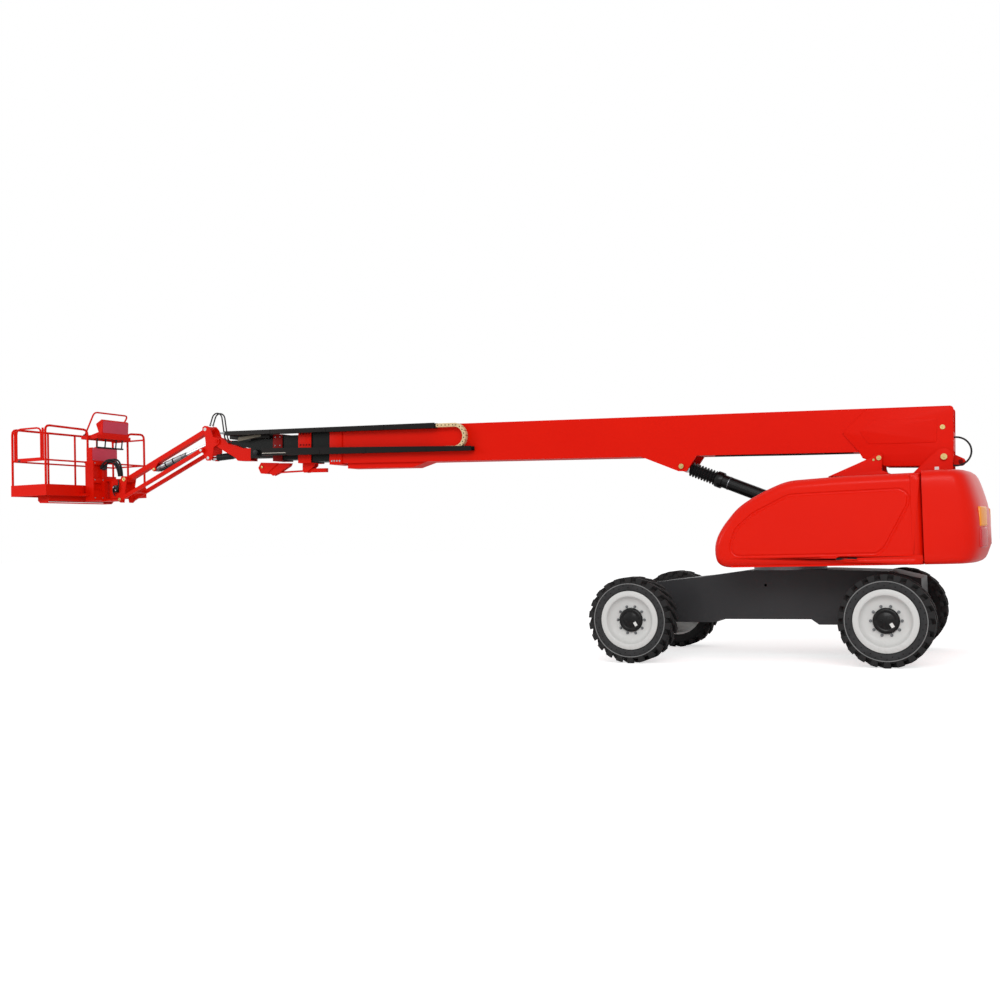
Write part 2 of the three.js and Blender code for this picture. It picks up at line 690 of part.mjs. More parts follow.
const linkBar = cut(
  join(
    box([20, jibLength - 20], [120, 160], [-30, 30]),
    pin([0, 0], 40, [120, 160]),
    pin([jibLength, 0], 40, [120, 160]),
  ),
  pin([0, 0], 25, [100, 180]),
  pin([jibLength, 0], 25, [100, 180]),
);
const jibLink = join(
  bothSides(linkBar),
  box([jibLength - 330, jibLength - 290], [-130, 130], [-25, 15]),
);
part('jib_link', aim(jibLink, LINK_TOP, LINK_END), RED);

const jibTurn = THREE.MathUtils.degToRad(angleOf(JIB_TOP, JIB_END));
const jibLug = [
  JIB_TOP[0] + JIB_LUG[0] * Math.cos(jibTurn) - JIB_LUG[1] * Math.sin(jibTurn),
  JIB_TOP[1] + JIB_LUG[0] * Math.sin(jibTurn) + JIB_LUG[1] * Math.cos(jibTurn),
];
const jibRamLength = distance(jibLug, JIB_RAM_HEAD);
part('jib_ram_barrel', aim(barrel({
  eyeR: 36, holeR: 19, eyeY: 38, r: 40, boreR: 26, end: jibRamLength - 560,
}), jibLug, JIB_RAM_HEAD), BLACK);
part('jib_ram_rod', aim(ram({
  length: jibRamLength, eyeR: 36, eyeY: 30, r: 24, start: 250,
}), jibLug, JIB_RAM_HEAD), CHROME);

// ---------- platform bracket and rotator ----------
const bracketPlate = [
  [10470, 2780], [10590, 2785], [10630, 2700], [10645, 2600], [10645, 2430], [10625, 2350],
  [10545, 2345], [10515, 2560],
];
const endBracket = join(
  bothSides(sidePlate(bracketPlate, [97, 113])),
  pin(JIB_END, 28, [-113, 113]),
  bothSides(pin(LINK_END, 24, [100, 165])),
  box([10600, 10720], [-105, 105], [2430, 2690]),
  post([TURN_X, 0], 112, [2425, 2715], 32),
);
part('platform_bracket', endBracket, RED);

const mountArm = [
  [TURN_X, -95], ...arc([TURN_X, 0], 95, 270, 90, 8), [TURN_X, 95], [10990, 80], [10990, -80],
];
const BOX_Z = 3055;              // underside of the junction box on its column
const platformMount = join(
  flatPlate(mountArm, [2716, 2750]),
  flatPlate(mountArm, [2390, 2424]),
  box([10960, 10990], [-110, 110], [2390, 2750]),
  cut(
    box([10985, 11160], [85, 335], [2400, BOX_Z]),
    box([10975, 11030], [135, 315], [2560, 2990]),
  ),
  box([10985, 11160], [-110, 335], [2690, 2760]),
  box([10985, 11160], [-250, 335], [2390, 2470]),
  box([11020, 11160], [-20, 60], [2460, BOX_Z]),
  box([11040, 11160], [-250, 0], [2460, 2808]),
  box([11060, 11189.7], [-430, 450], [2478, 2512]),
  box([11150, 11189.7], [100, 320], [3020, 3050]),
);
part('platform_mount', platformMount, RED);

// ---------- platform ----------
const [BACK_X, EDGE_X] = PLATFORM_X;
const railBack = BACK_X + TUBE_R + 1;
const railFront = EDGE_X - TUBE_R - 1;
const railY = PLATFORM_Y - TUBE_R - 1;
const MID_Z = 3045;
const KICK_TOP = 2655;
const BEND = 90;                 // radius of the bends in the rails
const CONSOLE_Y = [-720, 220];   // the top rail stops on both sides of the console
const floorFrame = cut(
  box([BACK_X, EDGE_X], [-PLATFORM_Y, PLATFORM_Y], [FLOOR_Z, KICK_TOP]),
  box([BACK_X + 6, EDGE_X - 6], [-PLATFORM_Y + 6, PLATFORM_Y - 6], [FLOOR_Z + 40, KICK_TOP + 10]),
  box([BACK_X + 45, EDGE_X - 45], [-PLATFORM_Y + 45, -20], [FLOOR_Z - 10, FLOOR_Z + 50]),
  box([BACK_X + 45, EDGE_X - 45], [20, PLATFORM_Y - 45], [FLOOR_Z - 10, FLOOR_Z + 50]),
);
const POST_Z = FLOOR_Z + 30;
const rearRail = (corner, end) => pipe(rounded([
  [railBack, corner, POST_Z], [railBack, corner, RAIL_Z + 35], [railBack, end, RAIL_Z + 20],
  [railBack, end, POST_Z],
], BEND), TUBE_R);
const frontRail = pipe(rounded([
  [railFront, railY, POST_Z], [railFront, railY, RAIL_Z], [railFront, -railY, RAIL_Z],
  [railFront, -railY, POST_Z],
], BEND), TUBE_R);
const frontPosts = [380, -220, -740].map(
  (y) => post([railFront, y], POST_R, [POST_Z, RAIL_Z], 12),
);
const GATE_Z = [3030, 3560];
const gatePosts = [railFront - 58, railBack + 55].map(
  (x) => post([x, railY], POST_R, GATE_Z, 12),
);
const gateTies = [GATE_Z[0] + 20, GATE_Z[1] - 40].flatMap((z) => [
  rod([railFront - 58, railY, z], [railFront, railY, z], POST_R - 4),
  rod([railBack, railY, z], [railBack + 55, railY, z], POST_R - 4),
]);
const midRail = pipe([
  [railFront, railY, MID_Z], [railFront, -railY, MID_Z], [railBack, -railY, MID_Z],
  [railBack, railY, MID_Z],
], TUBE_R - 5);
const farRail = rod([railBack, -railY, RAIL_Z - 60], [railFront, -railY, RAIL_Z - 60], TUBE_R - 4);
const underFrame = sidePlate([
  [11300, 2400], [11345, 2360], [11500, 2360], [11545, 2400], [11545, 2480], [11300, 2480],
], [-460, 980]);
const platformFrame = join(
  floorFrame,
  rearRail(railY, CONSOLE_Y[1]),
  rearRail(-railY, CONSOLE_Y[0]),
  frontRail,
  frontPosts,
  gatePosts,
  gateTies,
  midRail,
  farRail,
  cut(underFrame, box([11312, 11533], [-450, 970], [2372, 2490])),
);
part('platform_frame', platformFrame, RED);
const FLOOR_INSET = 2 * TUBE_R + 2;
part('platform_floor', box(
  [BACK_X + FLOOR_INSET, EDGE_X - FLOOR_INSET],
  [-PLATFORM_Y + FLOOR_INSET, PLATFORM_Y - FLOOR_INSET],
  [FLOOR_Z + 40.3, FLOOR_Z + 46],
), IRON);

// The gate hangs on its post nearest the boom; its latch is at the other end.
const gateX = [railBack + 95, railFront - 95];
const gate = join(
  pipe(rounded([
    [gateX[0], railY, 3045], [gateX[0], railY, 3562], [gateX[1], railY, 3562],
    [gateX[1], railY, 3045],
  ], BEND), 15),
  box([gateX[0], gateX[1]], [railY - 12, railY + 12], [3030, 3085]),
);
part('platform_gate', gate, RED);

// The console stands on the junction box, with a guard hoop leaning back over it.
const consoleHood = [
  [11040, 3495], [11050, 3540], [11035, 3745], [11060, 3768], [11185, 3700], [11130, 3560],
  [11375, 3500], [11375, 3495],
];
const consoleStruts = [160, -30, -280, -420].map(
  (y) => rod([11050, y, 3450], [11075, y, 3290], 9, 8),
);
const guardHoop = pipe(rounded([
  [11350, 150, 3480], [11120, 150, 3884], [11120, -640, 3884], [11350, -560, 3480],
], 70), 14);
const consoleBody = join(
  sidePlate(consoleHood, [-560, 50]),
  cut(
    box([11030, 11380], [-600, 190], [3440, 3500]),
    box([11042, 11368], [-590, 180], [3430, 3488]),
  ),
  consoleStruts,
  box([11060, 11100], [-440, 180], [3280, 3296]),
  box([11060, 11180], [-300, 280], [BOX_Z + 0.3, 3282]),
  guardHoop,
);
part('platform_console', consoleBody, RED);

machine.position.x = -(TAIL_X + FRONT_X) / 2;
machine.updateMatrixWorld(true);

export default machine;
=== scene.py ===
# %% [markdown]
# # A telescopic boom lift in Blender
# The machine comes from a solid model that is already the right size. This lesson loads it,
# gives every part its real finish and adds the pieces that make it look like a machine that
# has been assembled: treads, bolts, pins, hoses and panel lines. Everything is in metres.

# %% Load the frame
import json
import math
import bpy
from mathutils import Matrix, Vector

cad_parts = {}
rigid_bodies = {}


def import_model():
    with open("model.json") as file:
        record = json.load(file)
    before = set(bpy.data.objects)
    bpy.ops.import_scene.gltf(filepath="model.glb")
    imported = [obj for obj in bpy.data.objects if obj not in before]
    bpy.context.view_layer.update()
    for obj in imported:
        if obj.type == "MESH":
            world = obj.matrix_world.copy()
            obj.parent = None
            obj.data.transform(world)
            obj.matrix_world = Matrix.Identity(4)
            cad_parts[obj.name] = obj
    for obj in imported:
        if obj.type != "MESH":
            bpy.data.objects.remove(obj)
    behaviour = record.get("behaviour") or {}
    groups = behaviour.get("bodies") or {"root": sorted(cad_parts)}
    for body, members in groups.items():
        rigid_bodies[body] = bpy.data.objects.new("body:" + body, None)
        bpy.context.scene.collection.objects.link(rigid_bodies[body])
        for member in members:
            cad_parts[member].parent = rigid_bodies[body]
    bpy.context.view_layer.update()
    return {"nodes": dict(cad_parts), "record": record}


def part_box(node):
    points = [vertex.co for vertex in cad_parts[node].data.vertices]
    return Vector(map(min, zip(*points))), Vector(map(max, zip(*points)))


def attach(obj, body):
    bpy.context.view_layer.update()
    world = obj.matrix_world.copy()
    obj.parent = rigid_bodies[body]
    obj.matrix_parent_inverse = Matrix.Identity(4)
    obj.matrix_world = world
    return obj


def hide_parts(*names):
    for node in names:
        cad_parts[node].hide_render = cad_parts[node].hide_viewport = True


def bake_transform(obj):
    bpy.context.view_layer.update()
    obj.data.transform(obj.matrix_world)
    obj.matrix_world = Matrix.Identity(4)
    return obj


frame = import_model()

# %% [markdown]
# ## Places on the machine
# Two rulers are used below. The first is the chassis: x is counted from midway between the
# axles, y from the centre line and z from the ground. The second lies along the boom, counted
# from its pivot and tilted with it. Both take millimetres, because that is how steelwork is
# drawn, and both are found from the loaded parts and joints.

# %% Rulers
joints = {joint["name"]: joint for joint in frame["record"]["behaviour"]["joints"]}


def middle(part):
    low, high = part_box(part)
    return (low + high) / 2


wheelbase_middle = (middle("tyre_front_left").x + middle("tyre_rear_left").x) / 2
boom_pivot = Vector(joints["boom_lift"]["pos_m"])
boom_along = Vector(joints["boom_extend"]["axis"]).normalized()
boom_up = Vector((-boom_along.z, 0, boom_along.x))


def at(x, y, z):
    return Vector((wheelbase_middle + x / 1000, y / 1000, z / 1000))


def on_boom(along, y, across):
    place = boom_pivot + boom_along * (along / 1000) + boom_up * (across / 1000)
    return Vector((place.x, y / 1000, place.z))


print("middle of the wheelbase at x =", round(wheelbase_middle, 4))

# %% [markdown]
# ## Camera
# A long machine is looked at from some way off, here from its left side and a little
# behind, at about eye height. The camera is given by where it stands and by three turns:
# how far it looks round to the front, how far up, and how far it leans.

# %% Camera
def look(place, turn, rise, lean, lens):
    bpy.ops.object.camera_add(location=place)
    camera = bpy.context.object
    forward = Vector((
        math.sin(turn) * math.cos(rise), -math.cos(turn) * math.cos(rise), math.sin(rise)))
    right = forward.cross(Vector((0, 0, 1))).normalized()
    up = right.cross(forward)
    side = right * math.cos(lean) + up * math.sin(lean)
    top = up * math.cos(lean) - right * math.sin(lean)
    turned = Matrix((side, top, -forward)).transposed()
    camera.matrix_world = Matrix.Translation(place) @ turned.to_4x4()
    camera.data.lens = lens
    camera.data.sensor_width = 36
    camera.data.clip_end = 200
    return camera


EYE = Vector((-7.6345, 14.75, 1.57))
TURN, RISE, LEAN = math.radians(24.52), math.radians(1.96), math.radians(-1.59)
LENS = 41.26
bpy.context.scene.camera = look(EYE, TURN, RISE, LEAN, LENS)
print("camera at", tuple(bpy.context.scene.camera.location))

# %% [markdown]
# ## Free hoses
# Three hydraulic hoses hang free. One leaves the boom's rear plate, swings round behind it and
# goes back in below. A pair comes out of the fly section's hose box, climbs behind the jib head
# and loops over to the jib's upper arm, with length to spare for the head's turn. Each route
# is made of arcs, and no bend is tighter than four diameters.

# %% Hose routes, as x and z from the middle of the wheelbase
def arc(centre, radius, start, end, steps):
    """Places on an arc, in millimetres, between two angles in degrees."""
    angles = [math.radians(start + (end - start) * i / steps) for i in range(steps + 1)]
    return [(centre[0] + radius * math.cos(a), centre[1] + radius * math.sin(a))
            for a in angles]


rear_route = [
    (-2244.6, 2634), *arc((-2260, 2464), 170, 90, 277, 18), (-2135, 2310), (-2085, 2321),
    (-2060, 2323.8), (-2031.4, 2324)]
jib_route = [
    (8345, 3216), *arc((8400, 3346), 130, -90, -10, 8),
    *arc((8668, 3603), 98, 172, 22, 14), (8812, 3508)]
HOSE_RADIUS = 11
hoses = []
for name, route, y, body in (
        ("rear_hose", rear_route, 110, "boom_base"),
        ("jib_hose_left", jib_route, 36, "boom_fly"),
        ("jib_hose_right", jib_route, -36, "boom_fly")):
    path = [at(x, y, z) for x, z in route]
    curve = bpy.data.curves.new(f"{name}_piece", "CURVE")
    curve.dimensions = "3D"
    spline = curve.splines.new("POLY")
    spline.points.add(len(path) - 1)
    for knot, place in zip(spline.points, path):
        knot.co = (*place, 1)
    curve.bevel_depth = HOSE_RADIUS / 1000
    curve.bevel_resolution = 4
    curve.use_fill_caps = True
    hose = bpy.data.objects.new(f"{name}_piece", curve)
    bpy.context.collection.objects.link(hose)
    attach(hose, body)
    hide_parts(name)
    hoses.append(hose)

# %% [markdown]
# ## Floor, backdrop and light
# A white studio: a wide pale floor and a pale world. Both are pure white to the camera, and
# to mirrors and glass, while a plain grey level lights the machine. The floor keeps the
# machine's shadow, so its white is a diffuse surface with a little glow added for the camera.

# %% Materials: one function for every shader node
def linear(code):
    """Turns an sRGB colour such as '#E2200F' into the linear numbers a shader takes."""
    parts = [int(code[i:i + 2], 16) / 255 for i in (1, 3, 5)]
    return tuple(
        c / 12.92 if c <= 0.04045 else ((c + 0.055) / 1.055) ** 2.4 for c in parts) + (1.0,)


def add(tree, kind, inputs=None, **settings):
    """Adds a node, makes its settings, and links or sets its inputs."""
    node = tree.nodes.new(kind)
    for name, value in settings.items():
        setattr(node, name, value)
    for socket, value in (inputs or {}).items():
        if isinstance(value, bpy.types.NodeSocket):
            tree.links.new(value, node.inputs[socket])
        else:
            node.inputs[socket].default_value = value
    return node


# %% Floor and world
def empty_material(name):
    material = bpy.data.materials.new(name)
    material.use_nodes = True
    material.node_tree.nodes.clear()
    return material, material.node_tree


FLOOR_GLOW = 0.62
floor_paint, tree = empty_material("studio_floor_white")
soft = add(tree, "ShaderNodeBsdfDiffuse", {"Color": linear("#F4F4F4")})
glow = add(tree, "ShaderNodeEmission", {"Color": (1, 1, 1, 1), "Strength": FLOOR_GLOW})
both = add(tree, "ShaderNodeAddShader", {0: soft.outputs[0], 1: glow.outputs[0]})
seen = add(tree, "ShaderNodeLightPath")
mixed = add(tree, "ShaderNodeMixShader", {
    0: seen.outputs["Is Camera Ray"], 1: soft.outputs[0], 2: both.outputs[0]})
add(tree, "ShaderNodeOutputMaterial", {"Surface": mixed.outputs[0]})

bpy.ops.object.select_all(action="DESELECT")
FLOOR_SIDE = 240
FLOOR_DROP = -0.001
bpy.ops.mesh.primitive_plane_add(size=FLOOR_SIDE, location=(0, 0, FLOOR_DROP))
floor = bpy.context.object
floor.name = "studio_floor"
floor.data.materials.append(floor_paint)

world = bpy.data.worlds.new("studio_white")
bpy.context.scene.world = world
world.use_nodes = True
AMBIENT_LEVEL = 0.5
tree = world.node_tree
tree.nodes.clear()
path = add(tree, "ShaderNodeLightPath")
direct = add(tree, "ShaderNodeMath", {
    0: path.outputs["Is Camera Ray"], 1: path.outputs["Is Glossy Ray"]}, operation="MAXIMUM")
through = add(tree, "ShaderNodeMath", {
    0: direct.outputs[0], 1: path.outputs["Is Transmission Ray"]}, operation="MAXIMUM")
ambient = add(tree, "ShaderNodeBackground", {"Color": (1, 1, 1, 1), "Strength": AMBIENT_LEVEL})
white = add(tree, "ShaderNodeBackground", {"Color": (1, 1, 1, 1), "Strength": 1.0})
sky = add(tree, "ShaderNodeMixShader", {
    0: through.outputs[0], 1: ambient.outputs[0], 2: white.outputs[0]})
add(tree, "ShaderNodeOutputWorld", {"Surface": sky.outputs[0]})
bpy.context.scene.view_settings.view_transform = "Standard"


# %% Lamps
def softbox(name, place, aim, width, height, power):
    bpy.ops.object.light_add(type="AREA", location=place)
    lamp = bpy.context.object
    lamp.name = name
    lamp.data.shape = "RECTANGLE"
    lamp.data.size, lamp.data.size_y = width, height
    lamp.data.energy = power
    lamp.rotation_mode = "QUATERNION"
    lamp.rotation_quaternion = (Vector(aim) - Vector(place)).to_track_quat("-Z", "Y")
    return lamp


softbox("key_softbox", (-9, 16, 10), (-1.5, 0, 2), 16, 6, 1500)
softbox("front_softbox", (14, 10, 7), (3, 0, 2.5), 8, 5, 500)

# %% [markdown]
# ## Painted steel
# The machine is sprayed with two-pack enamel. Up close such paint is a smooth colour under a
# clear gloss, with a faint orange-peel ripple a few millimetres across, road dust lying on
# its lower edges and a slow change of shade from panel to panel. The same recipe makes every
# painted finish here, so it is one function with the colour and the gloss as its settings.


# %% Paint recipe
SHADE_SCALE = 1.3  # slow change of shade, in waves to the metre
DUST_SCALE = 26.0  # specks of dust, in waves to the metre
CLEAR_COAT_ROUGHNESS = 0.08
PEEL_DEPTH = 0.0006  # metres of orange peel


def enamel(name, colour, shade, dust, rough, coat, peel_mm=9.0, dust_top=1.2, shine=0.2):
    material, tree = empty_material(name)
    place = add(tree, "ShaderNodeTexCoord")
    slow = add(tree, "ShaderNodeTexNoise", {
        "Vector": place.outputs["Object"], "Scale": SHADE_SCALE, "Detail": 3.0})
    panel = add(tree, "ShaderNodeMix", {
        "Factor": slow.outputs["Fac"], 6: linear(colour), 7: linear(shade)}, data_type="RGBA")
    height = add(tree, "ShaderNodeSeparateXYZ", {"Vector": place.outputs["Object"]})
    low = add(tree, "ShaderNodeMapRange", {
        "Value": height.outputs["Z"], "From Min": dust_top, "From Max": 0.0,
        "To Min": 0.0, "To Max": 0.55})
    specks = add(tree, "ShaderNodeTexNoise", {
        "Vector": place.outputs["Object"], "Scale": DUST_SCALE, "Detail": 6.0,
        "Roughness": 0.7})
    patch = add(tree, "ShaderNodeMapRange", {
        "Value": specks.outputs["Fac"], "From Min": 0.45, "From Max": 0.75})
    amount = add(tree, "ShaderNodeMath", {
        0: low.outputs[0], 1: patch.outputs[0]}, operation="MULTIPLY")
    base = add(tree, "ShaderNodeMix", {
        "Factor": amount.outputs[0], 6: panel.outputs[2], 7: linear(dust)}, data_type="RGBA")
    dull = add(tree, "ShaderNodeMapRange", {
        "Value": specks.outputs["Fac"], "To Min": rough * 0.8, "To Max": rough * 1.25})
    peel = add(tree, "ShaderNodeTexNoise", {
        "Vector": place.outputs["Object"], "Scale": 1000 / peel_mm, "Detail": 1.0})
    bump = add(tree, "ShaderNodeBump", {
        "Height": peel.outputs["Fac"], "Strength": 0.12, "Distance": PEEL_DEPTH})
    shader = add(tree, "ShaderNodeBsdfPrincipled", {
        "Base Color": base.outputs[2], "Roughness": dull.outputs[0],
        "Coat Weight": coat, "Coat Roughness": CLEAR_COAT_ROUGHNESS,
        "Specular IOR Level": shine,
        "Normal": bump.outputs[0]})
    add(tree, "ShaderNodeOutputMaterial", {"Surface": shader.outputs[0]})
    return material


red_enamel = enamel("red_enamel", "#E31802", "#DC1202", "#9A5A48", 0.42, 0.0, shine=0.08)
hood_enamel = enamel(
    "red_hood_enamel", "#E41A02", "#DF1503", "#9A5A48", 0.3, 0.04, 12.0, 1.3, 0.12)
# A darker red that paints the shade on red parts in shadow: the third collar and the ear pins
# inside the boom's rear. The second collar's bolt heads take it too.
painted_shade_red_enamel = enamel(
    "painted_shade_red_enamel", "#8E0E0A", "#760A08", "#7A4A40", 0.42, 0.0, shine=0.08)
chassis_enamel = enamel("charcoal_enamel", "#38383A", "#29292B", "#55524D", 0.45, 0.1, 9.0, 0.7)
boom_enamel = enamel("graphite_enamel", "#191B19", "#0F100F", "#4A4742", 0.4, 0.03, shine=0.1)
tray_enamel = enamel("black_tray_enamel", "#130E0C", "#0A0706", "#4A4742", 0.42, 0.05, shine=0.12)
barrel_enamel = enamel("black_cylinder_enamel", "#0C0C0D", "#070708", "#3C3A38", 0.3, 0.08)
rim_enamel = enamel("light_grey_enamel", "#DADAD8", "#CFCFCD", "#98948C", 0.4, 0.1, 9.0, 0.4)
print("paints:", [m.name for m in bpy.data.materials if "enamel" in m.name])

# %% [markdown]
# ## Bare metals and rubber
# Cylinder rods are hard chrome, ground and polished; hinge pins are zinc plated and passivated
# yellow; the platform floor is galvanised mesh; the tyres are solid black rubber that bleaches
# grey where it has scrubbed the ground.


# %% Metal recipe
def metal(name, colour, shade, rough, grain_mm, relief=0.1):
    material, tree = empty_material(name)
    place = add(tree, "ShaderNodeTexCoord")
    grain = add(tree, "ShaderNodeTexNoise", {
        "Vector": place.outputs["Object"], "Scale": 1000 / grain_mm, "Detail": 4.0})
    tint = add(tree, "ShaderNodeMix", {
        "Factor": grain.outputs["Fac"], 6: linear(colour), 7: linear(shade)}, data_type="RGBA")
    dull = add(tree, "ShaderNodeMapRange", {
        "Value": grain.outputs["Fac"], "To Min": rough * 0.7, "To Max": rough * 1.4})
    bump = add(tree, "ShaderNodeBump", {
        "Height": grain.outputs["Fac"], "Strength": relief, "Distance": 0.0005})
    shader = add(tree, "ShaderNodeBsdfPrincipled", {
        "Base Color": tint.outputs[2], "Metallic": 1.0, "Roughness": dull.outputs[0],
        "Normal": bump.outputs[0]})
    add(tree, "ShaderNodeOutputMaterial", {"Surface": shader.outputs[0]})
    return material


hard_chrome = metal("hard_chrome", "#E4E6E8", "#C8CCD0", 0.12, 12.0, 0.03)
zinc_yellow = metal("yellow_zinc_plate", "#D8C48A", "#B39A5C", 0.32, 15.0)
machined_steel = metal("machined_steel", "#8A8C8F", "#5E6063", 0.35, 10.0)
galvanised = metal("galvanised_steel", "#B4B8BA", "#8C9092", 0.4, 18.0)
cast_block = metal("cast_engine_iron", "#4A4C4E", "#2E3032", 0.55, 20.0, 0.3)


# %% Rubber and plastic
def polymer(name, colour, shade, rough, grain_mm, relief):
    material, tree = empty_material(name)
    place = add(tree, "ShaderNodeTexCoord")
    grain = add(tree, "ShaderNodeTexNoise", {
        "Vector": place.outputs["Object"], "Scale": 1000 / grain_mm, "Detail": 8.0,
        "Roughness": 0.65})
    slow = add(tree, "ShaderNodeTexNoise", {
        "Vector": place.outputs["Object"], "Scale": 7.0, "Detail": 4.0})
    tint = add(tree, "ShaderNodeMix", {
        "Factor": slow.outputs["Fac"], 6: linear(colour), 7: linear(shade)}, data_type="RGBA")
    bump = add(tree, "ShaderNodeBump", {
        "Height": grain.outputs["Fac"], "Strength": relief, "Distance": 0.001})
    dull = add(tree, "ShaderNodeMapRange", {
        "Value": grain.outputs["Fac"], "To Min": rough * 0.85, "To Max": rough * 1.15})
    shader = add(tree, "ShaderNodeBsdfPrincipled", {
        "Base Color": tint.outputs[2], "Roughness": dull.outputs[0],
        "Specular IOR Level": 0.25, "Normal": bump.outputs[0]})
    add(tree, "ShaderNodeOutputMaterial", {"Surface": shader.outputs[0]})
    return material


tyre_rubber = polymer("solid_tyre_rubber", "#1D1D1E", "#2B2A2A", 0.8, 8.0, 0.4)
hose_rubber = polymer("hose_rubber", "#141415", "#202022", 0.5, 4.0, 0.2)
chain_nylon = polymer("chain_nylon", "#E6CFA4", "#CDB083", 0.5, 5.0, 0.1)
black_plastic = polymer("black_abs", "#17171A", "#0E0E10", 0.4, 3.0, 0.15)

# %% [markdown]
# ## Paint the loaded parts
# The loaded parts keep their shapes. Each one is given the finish of the real piece here, and
# the pieces made further down go on top or take a part's place.

# %% Finishes of the loaded parts
finishes = {
    red_enamel: [
        "turntable_frame", "counterweight", "boom_base", "boom_nose", "boom_stay", "jib_head",
        "jib_arm", "jib_link", "platform_bracket", "platform_mount", "platform_frame",
        "platform_gate", "platform_console"],
    hood_enamel: ["hood_left", "hood_right"],
    chassis_enamel: [
        "chassis_frame", "front_axle", "rear_axle", "knuckle_left", "knuckle_right"],
    boom_enamel: ["boom_second", "boom_third", "boom_fly"],
    tray_enamel: ["lower_tray", "upper_tray"],
    barrel_enamel: ["lift_barrel", "master_barrel", "level_barrel"],
    hard_chrome: ["lift_rod", "master_rod", "level_rod", "jib_ram_rod"],
    rim_enamel: [f"rim_{end}_{side}" for end in ("front", "rear") for side in ("left", "right")],
    tyre_rubber: [f"tyre_{end}_{side}" for end in ("front", "rear") for side in ("left", "right")],
    machined_steel: ["slew_ring", "jib_ram_barrel"],
    cast_block: ["engine_block"],
    chain_nylon: ["hose_chain"],
    galvanised: ["platform_floor"],
    hose_rubber: ["rear_hose", "jib_hose_left", "jib_hose_right"],
}
for finish, parts in finishes.items():
    for part in parts:
        slots = frame["nodes"][part].data.materials
        slots.clear()
        slots.append(finish)
for hose in hoses:
    hose.data.materials.append(hose_rubber)
print("painted:", sum(len(parts) for parts in finishes.values()), "loaded parts")

# %% [markdown]
# ## A few hands for modelling
# Every piece below is modelled the same way as at the screen: a shape is added, worked on in
# edit mode, finished with modifiers, and then its place is applied so that its origin is the
# origin of the scene. These helpers hold the steps that repeat. Sizes go in as millimetres.

# %% Select, apply and paint
def pick(*pieces):
    if bpy.context.object and bpy.context.object.mode != "OBJECT":
        bpy.ops.object.mode_set(mode="OBJECT")
    bpy.ops.object.select_all(action="DESELECT")
    for piece in pieces:
        piece.select_set(True)
        bpy.context.view_layer.objects.active = piece


def modify(piece, kind, **settings):
    """Adds a modifier, sets it and applies it."""
    pick(piece)
    modifier = piece.modifiers.new(kind.lower(), kind)
    for name, value in settings.items():
        setattr(modifier, name, value)
    bpy.ops.object.modifier_apply(modifier=modifier.name)
    return piece


def soften(piece, width, segments=2, angle=30):
    """Rounds every edge sharper than the angle, and shades the rest smooth."""
    modify(piece, "BEVEL", width=width / 1000, segments=segments, limit_method="ANGLE",
           angle_limit=math.radians(angle), use_clamp_overlap=True)
    bpy.ops.object.shade_smooth_by_angle(angle=math.radians(35))
    return piece


def settle(piece, name, finish, body):
    """Applies the piece's place, names it, paints it and lets it ride on its body."""
    pick(piece)
    bpy.ops.object.transform_apply(location=True, rotation=True, scale=True)
    piece.name = piece.data.name = name
    piece.data.materials.clear()
    piece.data.materials.append(finish)
    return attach(piece, body)


def merge(*pieces):
    """Joins pieces into the first, which keeps the finish of each."""
    pick(*pieces)
    bpy.context.view_layer.objects.active = pieces[0]
    bpy.ops.object.join()
    return pieces[0]


def repeat(piece, turns):
    """Copies a piece once for each matrix, each copy with its own mesh, and joins them."""
    pick(piece)
    bpy.ops.object.transform_apply(location=True, rotation=True, scale=True)
    copies = []
    for turn in turns:
        twin = piece.copy()
        twin.data = piece.data.copy()
        twin.data.transform(turn)
        bpy.context.collection.objects.link(twin)
        copies.append(twin)
    bpy.data.objects.remove(piece)
    return merge(*copies)


def about(centre, axis, angle):
    """The matrix that turns things round an axis through a centre, in degrees."""
    turn = Matrix.Rotation(math.radians(angle), 4, axis)
    return Matrix.Translation(centre) @ turn @ Matrix.Translation(-centre)


# %% Shapes that come up again and again
def block(low, high):
    """A cube from corner to corner, in metres."""
    low, high = Vector(low), Vector(high)
    pick()
    bpy.ops.mesh.primitive_cube_add(size=1, location=(low + high) / 2, scale=high - low)
    bpy.ops.object.transform_apply(location=True, rotation=True, scale=True)
    return bpy.context.object


def drum(centre, radius, length, axis="Y", sides=32):
    """A round bar centred on a place, with its radius and length in millimetres."""
    turn = {"X": (0, math.pi / 2, 0), "Y": (math.pi / 2, 0, 0), "Z": (0, 0, 0)}[axis]
    pick()
    bpy.ops.mesh.primitive_cylinder_add(
        vertices=sides, radius=radius / 1000, depth=length / 1000, location=centre,
        rotation=turn)
    bpy.ops.object.transform_apply(location=True, rotation=True, scale=True)
    return bpy.context.object


def drawn_line(places, closed=False):
    """A line of points as a curve."""
    curve = bpy.data.curves.new("line", "CURVE")
    curve.dimensions = "3D"
    spline = curve.splines.new("POLY")
    spline.points.add(len(places) - 1)
    for knot, place in zip(spline.points, places):
        knot.co = (*place, 1)
    spline.use_cyclic_u = closed
    line = bpy.data.objects.new("line", curve)
    bpy.context.collection.objects.link(line)
    return line


def as_mesh(piece):
    pick(piece)
    bpy.ops.object.convert(target="MESH")
    return bpy.context.object


